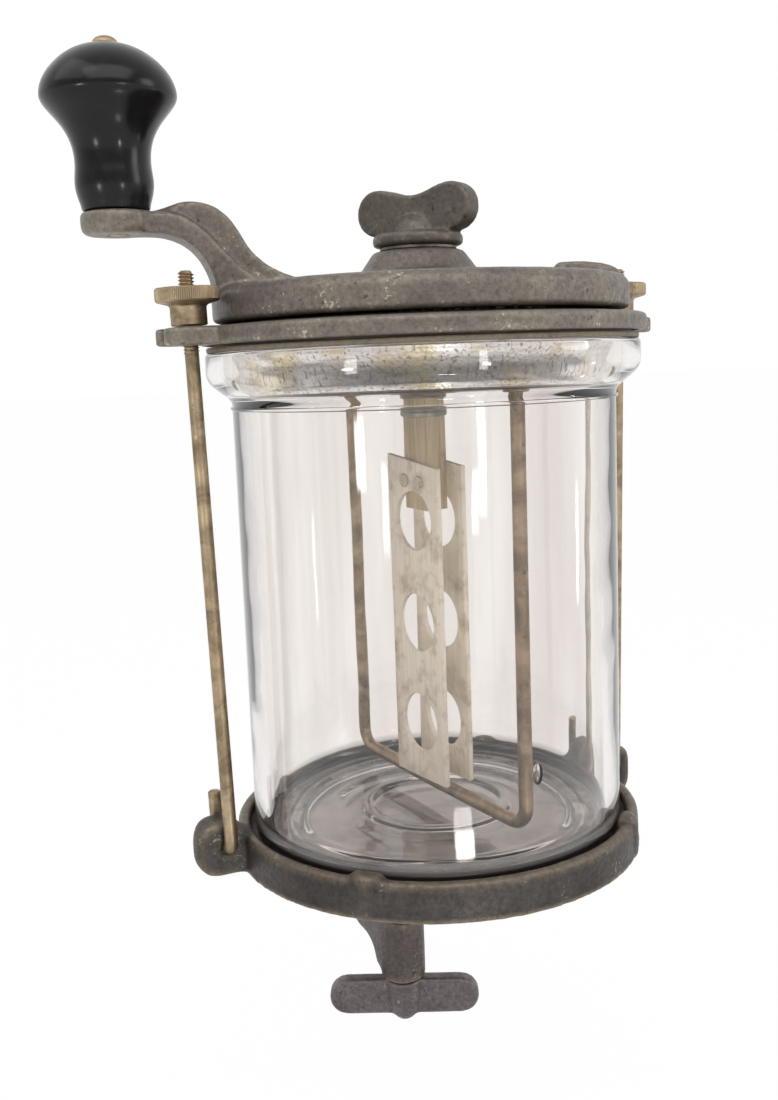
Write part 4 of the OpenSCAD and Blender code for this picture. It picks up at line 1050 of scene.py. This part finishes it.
def swing_rod(name):
    """The right rod in its own frame: threaded top, straight stem, hook and tail."""
    round_end(THREAD_CORE - ROD_CHAMFER, (0, 0, ROD_LENGTH))
    pull(0, 0, -ROD_CHAMFER)
    widen(THREAD_CORE / (THREAD_CORE - ROD_CHAMFER))
    pull(0, 0, ROD_CHAMFER - THREAD_LENGTH)
    widen(ROD_R / THREAD_CORE)
    pull(0, 0, HOOK_BEND + THREAD_LENGTH - ROD_LENGTH)
    bend((0, HOOK_BEND, HOOK_BEND), (1, 0, 0), 90)
    pull(0, HOOK_REACH - 2 * HOOK_BEND, 0)
    bend((0, HOOK_REACH - HOOK_BEND, HOOK_BEND), (1, 0, 0), 90)
    pull(0, 0, HOOK_TAIL - HOOK_BEND - ROD_CHAMFER)
    pull(0, 0, ROD_CHAMFER)
    widen(1 - ROD_CHAMFER / ROD_R, HOOK_REACH)
    close_up()
    stem = finished(name, crease=40)
    low = ROD_LENGTH - THREAD_LENGTH + ROD_PITCH
    return joined(stem, thread(THREAD_CORE, THREAD_CREST, ROD_PITCH, low, ROD_LENGTH))


def copy_of(piece, name):
    """A copy with its own mesh."""
    twin = piece.copy()
    twin.data = piece.data.copy()
    twin.name = name
    twin.data.name = name
    bpy.context.scene.collection.objects.link(twin)
    return twin


def on_rod(piece, side):
    """Leans a piece that was made in the right rod's frame, and mirrors it for the left side."""
    take_up(piece)
    piece.rotation_euler = (0, ROD_LEAN, 0)
    piece.location = Vector(ROD_PIVOT) * MM
    settle()
    if side == "left":
        piece.scale = (-1, 1, 1)
        settle()
        bpy.ops.object.mode_set(mode="EDIT")
        close_up()
        bpy.ops.object.mode_set(mode="OBJECT")


def pair(right_piece, left_name, node):
    """Puts a piece on the right rod and its mirrored copy on the left one."""
    for side, piece in {"right": right_piece, "left": copy_of(right_piece, left_name)}.items():
        on_rod(piece, side)
        stand_for(piece, f"{node}_{side}")


pair(swing_rod("right_swing_rod"), "left_swing_rod", "rod")

# %% [markdown]
# ## Finger nuts
# The finger nuts are turned brass: a straight hub, a flange that widens from it in a shallow cone, and an
# edge that is knurled for the fingers. The knurl could be a bump, but it shows in the outline, so it is
# cut: the lathe piece has four steps for each ridge, and one of the four is drawn in.

# %% Finger nuts
NUT_R = 9
NUT_HUB_R = 5.1
NUT_HUB_H = 6.5
NUT_HUB_EDGE = 0.3
# The cone under the flange: its height, and how far the fillet in its corner reaches out
NUT_CONE = 0.9
NUT_FLANGE_H = 4
NUT_SEAT = 154.63
NUT_BORE = 2.36
NUT_RIM = 0.5
# The dished top: how wide the rims outside and inside it are, the slope into it, and its depth
DISH_RIM = 1.6
DISH_SLOPE = 0.4
DISH_DEPTH = 0.25
# The bore's eased edge, and how far it lies below the top
BORE_EDGE = 0.5
BORE_DOWN = 0.1
RIDGES = 96
RIDGE_STEPS = 4
KNURL = 0.14


def finger_nut(name):
    """A knurled nut in the right rod's frame."""
    flange_z = NUT_SEAT + NUT_HUB_H
    top_z = flange_z + NUT_FLANGE_H
    dish_z = top_z - DISH_DEPTH
    profile = (
        [(NUT_BORE, NUT_SEAT), (NUT_HUB_R - NUT_HUB_EDGE, NUT_SEAT), (NUT_HUB_R, NUT_SEAT + NUT_HUB_EDGE)]
        + curve((NUT_HUB_R, flange_z - 2 * NUT_CONE), (NUT_HUB_R, flange_z - 1.4 * NUT_CONE),
                (NUT_HUB_R + NUT_CONE / 3, flange_z - NUT_CONE),
                (NUT_HUB_R + NUT_CONE, flange_z - 0.8 * NUT_CONE), 8)
        + [(NUT_R - NUT_RIM, flange_z), (NUT_R, flange_z + NUT_RIM), (NUT_R, top_z - NUT_RIM)]
        + [(NUT_R - NUT_RIM, top_z), (NUT_R - DISH_RIM, top_z), (NUT_R - DISH_RIM - DISH_SLOPE, dish_z)]
        + [(NUT_BORE + DISH_RIM, dish_z), (NUT_BORE + BORE_EDGE, top_z - BORE_DOWN)]
        + [(NUT_BORE, top_z - BORE_DOWN - BORE_EDGE), (NUT_BORE, NUT_SEAT)]
    )
    nut = turned(name, profile, RIDGE_STEPS * RIDGES, crease=30)
    take_up(nut)
    bpy.ops.object.mode_set(mode="EDIT")
    bpy.ops.mesh.select_all(action="DESELECT")
    bpy.ops.object.mode_set(mode="OBJECT")
    for corner in nut.data.vertices:
        flat = Vector(corner.co[:2])
        step = round(math.atan2(flat.y, flat.x) / math.tau * RIDGE_STEPS * RIDGES)
        corner.select = flat.length > (NUT_R - MERGE_MM) * MM and step % RIDGE_STEPS == 0
    bpy.ops.object.mode_set(mode="EDIT")
    widen(1 - KNURL / NUT_R)
    return finished(name, crease=30)


pair(finger_nut("right_finger_nut"), "left_finger_nut", "nut")

# %% [markdown]
# ## The wire breaker
# A wire hangs from the pan in the jar and breaks the stirred cream. It is one length with two bends, so
# it is pulled and spun like a rod, lying in the X direction, and then turned to its place. A small collar
# holds each leg under the pan, turned on the leg's own axis.

# %% Wire breaker
WIRE_R = 2.0
WIRE_BEND = 6
WIRE_REACH = 46.04
WIRE_TURN = math.radians(97)
wire_low, wire_high = span("wire_frame")
bend_z = wire_low.z + WIRE_R + WIRE_BEND
leg = wire_high.z - bend_z
round_end(WIRE_R, (-WIRE_REACH, 0, wire_high.z))
pull(0, 0, -leg)
bend((WIRE_BEND - WIRE_REACH, 0, bend_z), (0, -1, 0), 90)
pull(2 * (WIRE_REACH - WIRE_BEND), 0, 0)
bend((WIRE_REACH - WIRE_BEND, 0, bend_z), (0, -1, 0), 90)
pull(0, 0, leg)
close_up()
wire = finished("bent_wire", crease=40)
wire.rotation_euler = (0, 0, WIRE_TURN)
take_up(wire)
settle()
stand_for(wire, "wire_frame")

# %% Wire collars
COLLAR_T = 1.6
COLLAR_R = WIRE_R + COLLAR_T
COLLAR_EDGE = 0.4
collar_low, collar_high = span("wire_collars")
collar_profile = [
    (WIRE_R, collar_low.z), (COLLAR_R - COLLAR_EDGE, collar_low.z), (COLLAR_R, collar_low.z + COLLAR_EDGE),
    (COLLAR_R, collar_high.z), (WIRE_R, collar_high.z), (WIRE_R, collar_low.z),
]
ends = [Vector((math.cos(WIRE_TURN), math.sin(WIRE_TURN))) * WIRE_REACH * way for way in (1, -1)]
collars = joined(*[turned("wire_collar", collar_profile, 40, end) for end in ends])
collars.name = "wire_collar_pair"
stand_for(collars, "wire_collars")

# %% [markdown]
# ## The splash pan
# The pan is spun tin: a flat floor, a round corner and a side that leans out to a flat rim under the lid.
# A single line with a Solidify modifier would do, but its edges at the bore and the rim would not be
# level. So the outer and the inner side are drawn, a sheet's thickness apart, and turned as one.

# %% Pan
TIN = 0.6
PAN_R = 52.6
PAN_BEND = 2.6
PAN_NECK_R = 59.7
# Where the side leans most, as a share of the pan's height, and how its curve eases there and at the top
PAN_WAIST = 0.6
WAIST_EASE = 2
TOP_EASE = 3
PAN_RIM_GAP = 2.6
PAN_RIM_R = LIP_R - PAN_RIM_GAP
BUSH_NECK_R = 6.5
pan_low, pan_high = span("splash_pan")
pan_z, pan_top = pan_low.z, pan_high.z
waist_z = pan_z + PAN_WAIST * (pan_top - pan_z)
corner = (PAN_R - PAN_BEND, pan_z + PAN_BEND)
pan_profile = (
    [(BUSH_NECK_R, pan_z)]
    + arc(corner, PAN_BEND, -90, -25, 8)
    + curve((PAN_R, pan_z + PAN_BEND), (PAN_NECK_R - WAIST_EASE, waist_z),
            (PAN_NECK_R, pan_top - TIN - TOP_EASE), (PAN_NECK_R, pan_top - TIN), 16)
    + [(PAN_RIM_R, pan_top - TIN), (PAN_RIM_R, pan_top)]
    + curve((PAN_NECK_R - TIN, pan_top), (PAN_NECK_R - TIN, pan_top - TOP_EASE),
            (PAN_NECK_R - WAIST_EASE - TIN, waist_z + TIN), (PAN_R - TIN, pan_z + PAN_BEND + TIN), 16)
    + arc(corner, PAN_BEND - TIN, -25, -90, 8)
    + [(BUSH_NECK_R, pan_z + TIN), (BUSH_NECK_R, pan_z)]
)
stand_for(turned("spun_pan", pan_profile, 144), "splash_pan")

# %% [markdown]
# ## Bush, ferrule and gasket
# The dasher's shaft turns in a bush with a flange under the pan, and a crimped ferrule below it holds the
# wooden stock. Both are turned sleeves with eased edges. The gasket is a flat ring that bulges where the
# lid squeezes it, so its outer side is a curve.

# %% Bush
SHAFT_R = 4.5
BUSH_R = 7.15
BUSH_EDGE = 0.5
BUSH_FILLET = 0.6
BUSH_GAP = 0.06
BUSH_BORE = SHAFT_R + BUSH_GAP
FLANGE_R = BUSH_R + 3
FLANGE_T = 1.5
bush_low, bush_high = span("shaft_bush")
flange_z = pan_z - FLANGE_T
bush_profile = (
    [(BUSH_BORE, bush_low.z), (BUSH_R - BUSH_EDGE, bush_low.z)]
    + arc((BUSH_R - BUSH_EDGE, bush_low.z + BUSH_EDGE), BUSH_EDGE, -90, 0, 4)
    + arc((BUSH_R + BUSH_FILLET, flange_z - BUSH_FILLET), BUSH_FILLET, 180, 90, 4)
    + arc((FLANGE_R - BUSH_EDGE, flange_z + BUSH_EDGE), BUSH_EDGE, -90, 0, 4)
    + [(FLANGE_R, pan_z), (BUSH_NECK_R, pan_z), (BUSH_NECK_R, bush_high.z), (BUSH_BORE, bush_high.z)]
    + [(BUSH_BORE, bush_low.z)]
)
stand_for(turned("turned_bush", bush_profile, 96), "shaft_bush", "dull_sleeve")

# %% Ferrule
FERRULE_EDGE = 0.4
FERRULE_LIP = 0.5
FERRULE_ROUND = 0.6
# The crimp: its radius, how far outside the sleeve its middle lies, and its height
CRIMP_R = 0.5
CRIMP_OUT = 0.35
CRIMP_UP = 1.8
ferrule_low, ferrule_high = span("shaft_ferrule")
ferrule_profile = (
    [(SHAFT_R, ferrule_low.z), (BUSH_R - FERRULE_LIP, ferrule_low.z)]
    + arc((BUSH_R - FERRULE_EDGE, ferrule_low.z + FERRULE_EDGE), FERRULE_EDGE, -90, 0, 4)
    + arc((BUSH_R + CRIMP_OUT, ferrule_low.z + CRIMP_UP), CRIMP_R, 225, 135, 6)
    + arc((BUSH_R - FERRULE_ROUND, ferrule_high.z - FERRULE_ROUND), FERRULE_ROUND, 0, 90, 4)
    + [(SHAFT_R, ferrule_high.z), (SHAFT_R, ferrule_low.z)]
)
stand_for(turned("crimped_ferrule", ferrule_profile, 96), "shaft_ferrule", "dull_sleeve")

# %% Gasket
GASKET_R = LIP_R - 0.5
GASKET_IN = LIP_IN + 0.3
# How far the flat faces stay back from that radius, and how far the bulge's handles pass it
GASKET_BACK = 0.4
GASKET_BULGE = 0.1
gasket_low, gasket_high = span("lip_gasket")
gasket_profile = (
    [(GASKET_IN, gasket_low.z)]
    + curve((GASKET_R - GASKET_BACK, gasket_low.z), (GASKET_R + GASKET_BULGE, gasket_low.z),
            (GASKET_R + GASKET_BULGE, gasket_high.z), (GASKET_R - GASKET_BACK, gasket_high.z), 10)
    + [(GASKET_IN, gasket_high.z), (GASKET_IN, gasket_low.z)]
)
stand_for(turned("squeezed_gasket", gasket_profile, 144), "lip_gasket")

# %% [markdown]
# ## The dasher's boards
# The stock and the slats are sawn wood with a plane's small chamfer on every edge, and the rivets' heads
# are a little rounded. They could be drawn again, but their solids already have the right holes. So they
# are copies of their solids, merged and cleaned to flat faces, and a Bevel modifier eases the real edges.

# %% Dasher boards
# Each piece of the dasher: its new name, the chamfer on its edges and its own finish, if it has one
DASHER = {
    "paddle_stock": ("sawn_stock", 0.5, None),
    "front_slat": ("front_slat_board", 0.3, None),
    "back_slat": ("back_slat_board", 0.3, None),
    "slat_rivets": ("slat_rivet_set", 0.35, "dull_rivets"),
}


def eased(node, name, chamfer):
    """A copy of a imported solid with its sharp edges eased."""
    piece = solid_copy(node, name)
    bpy.ops.mesh.dissolve_limited(angle_limit=math.radians(1))
    bpy.ops.object.mode_set(mode="OBJECT")
    apply_modifier(piece, "BEVEL", width=chamfer * MM, segments=3, limit_method="ANGLE",
                   angle_limit=math.radians(50), harden_normals=False)
    return finished(name, crease=40)


for node, (name, chamfer, finish) in DASHER.items():
    stand_for(eased(node, name, chamfer), node, finish)

# %% [markdown]
# ## The clamp's screw
# The screw is a steel bar with a coarse thread where it runs through the arm, and a collar and a tenon
# on top that carry the foot. The bar is turned and the thread is screwed up round it, as on the rods.

# %% Clamp screw
SCREW_R = 4.7
SCREW_CORE = 3.7
SCREW_PITCH = 2.5
SCREW_START = 1
TENON_R = 3
TENON_H = 4.6
# The collar under the tenon: radius, and from its top down the ends of its edge, its side and its cone
COLLAR_SIDE = SCREW_R - 0.3
COLLAR_TOP = SCREW_R - 0.8
EDGE_DOWN, SIDE_DOWN, CONE_DOWN = 0.4, 1.4, 2
screw_low, screw_high = span("clamp_screw")
screw_axis = ((screw_low.x + screw_high.x) / 2, (screw_low.y + screw_high.y) / 2)
shoulder_z = screw_high.z - TENON_H
bar_profile = [
    (0, screw_low.z), (SCREW_CORE, screw_low.z), (SCREW_CORE, shoulder_z - CONE_DOWN),
    (COLLAR_SIDE, shoulder_z - SIDE_DOWN), (COLLAR_SIDE, shoulder_z - EDGE_DOWN), (COLLAR_TOP, shoulder_z),
    (TENON_R, shoulder_z), (TENON_R, screw_high.z), (0, screw_high.z),
]
bar = turned("threaded_bar", bar_profile, 48, screw_axis)
thread_z = screw_low.z + SCREW_START
turns = thread(SCREW_CORE, SCREW_R, SCREW_PITCH, thread_z, shoulder_z - CONE_DOWN, screw_axis)
stand_for(joined(bar, turns), "clamp_screw")
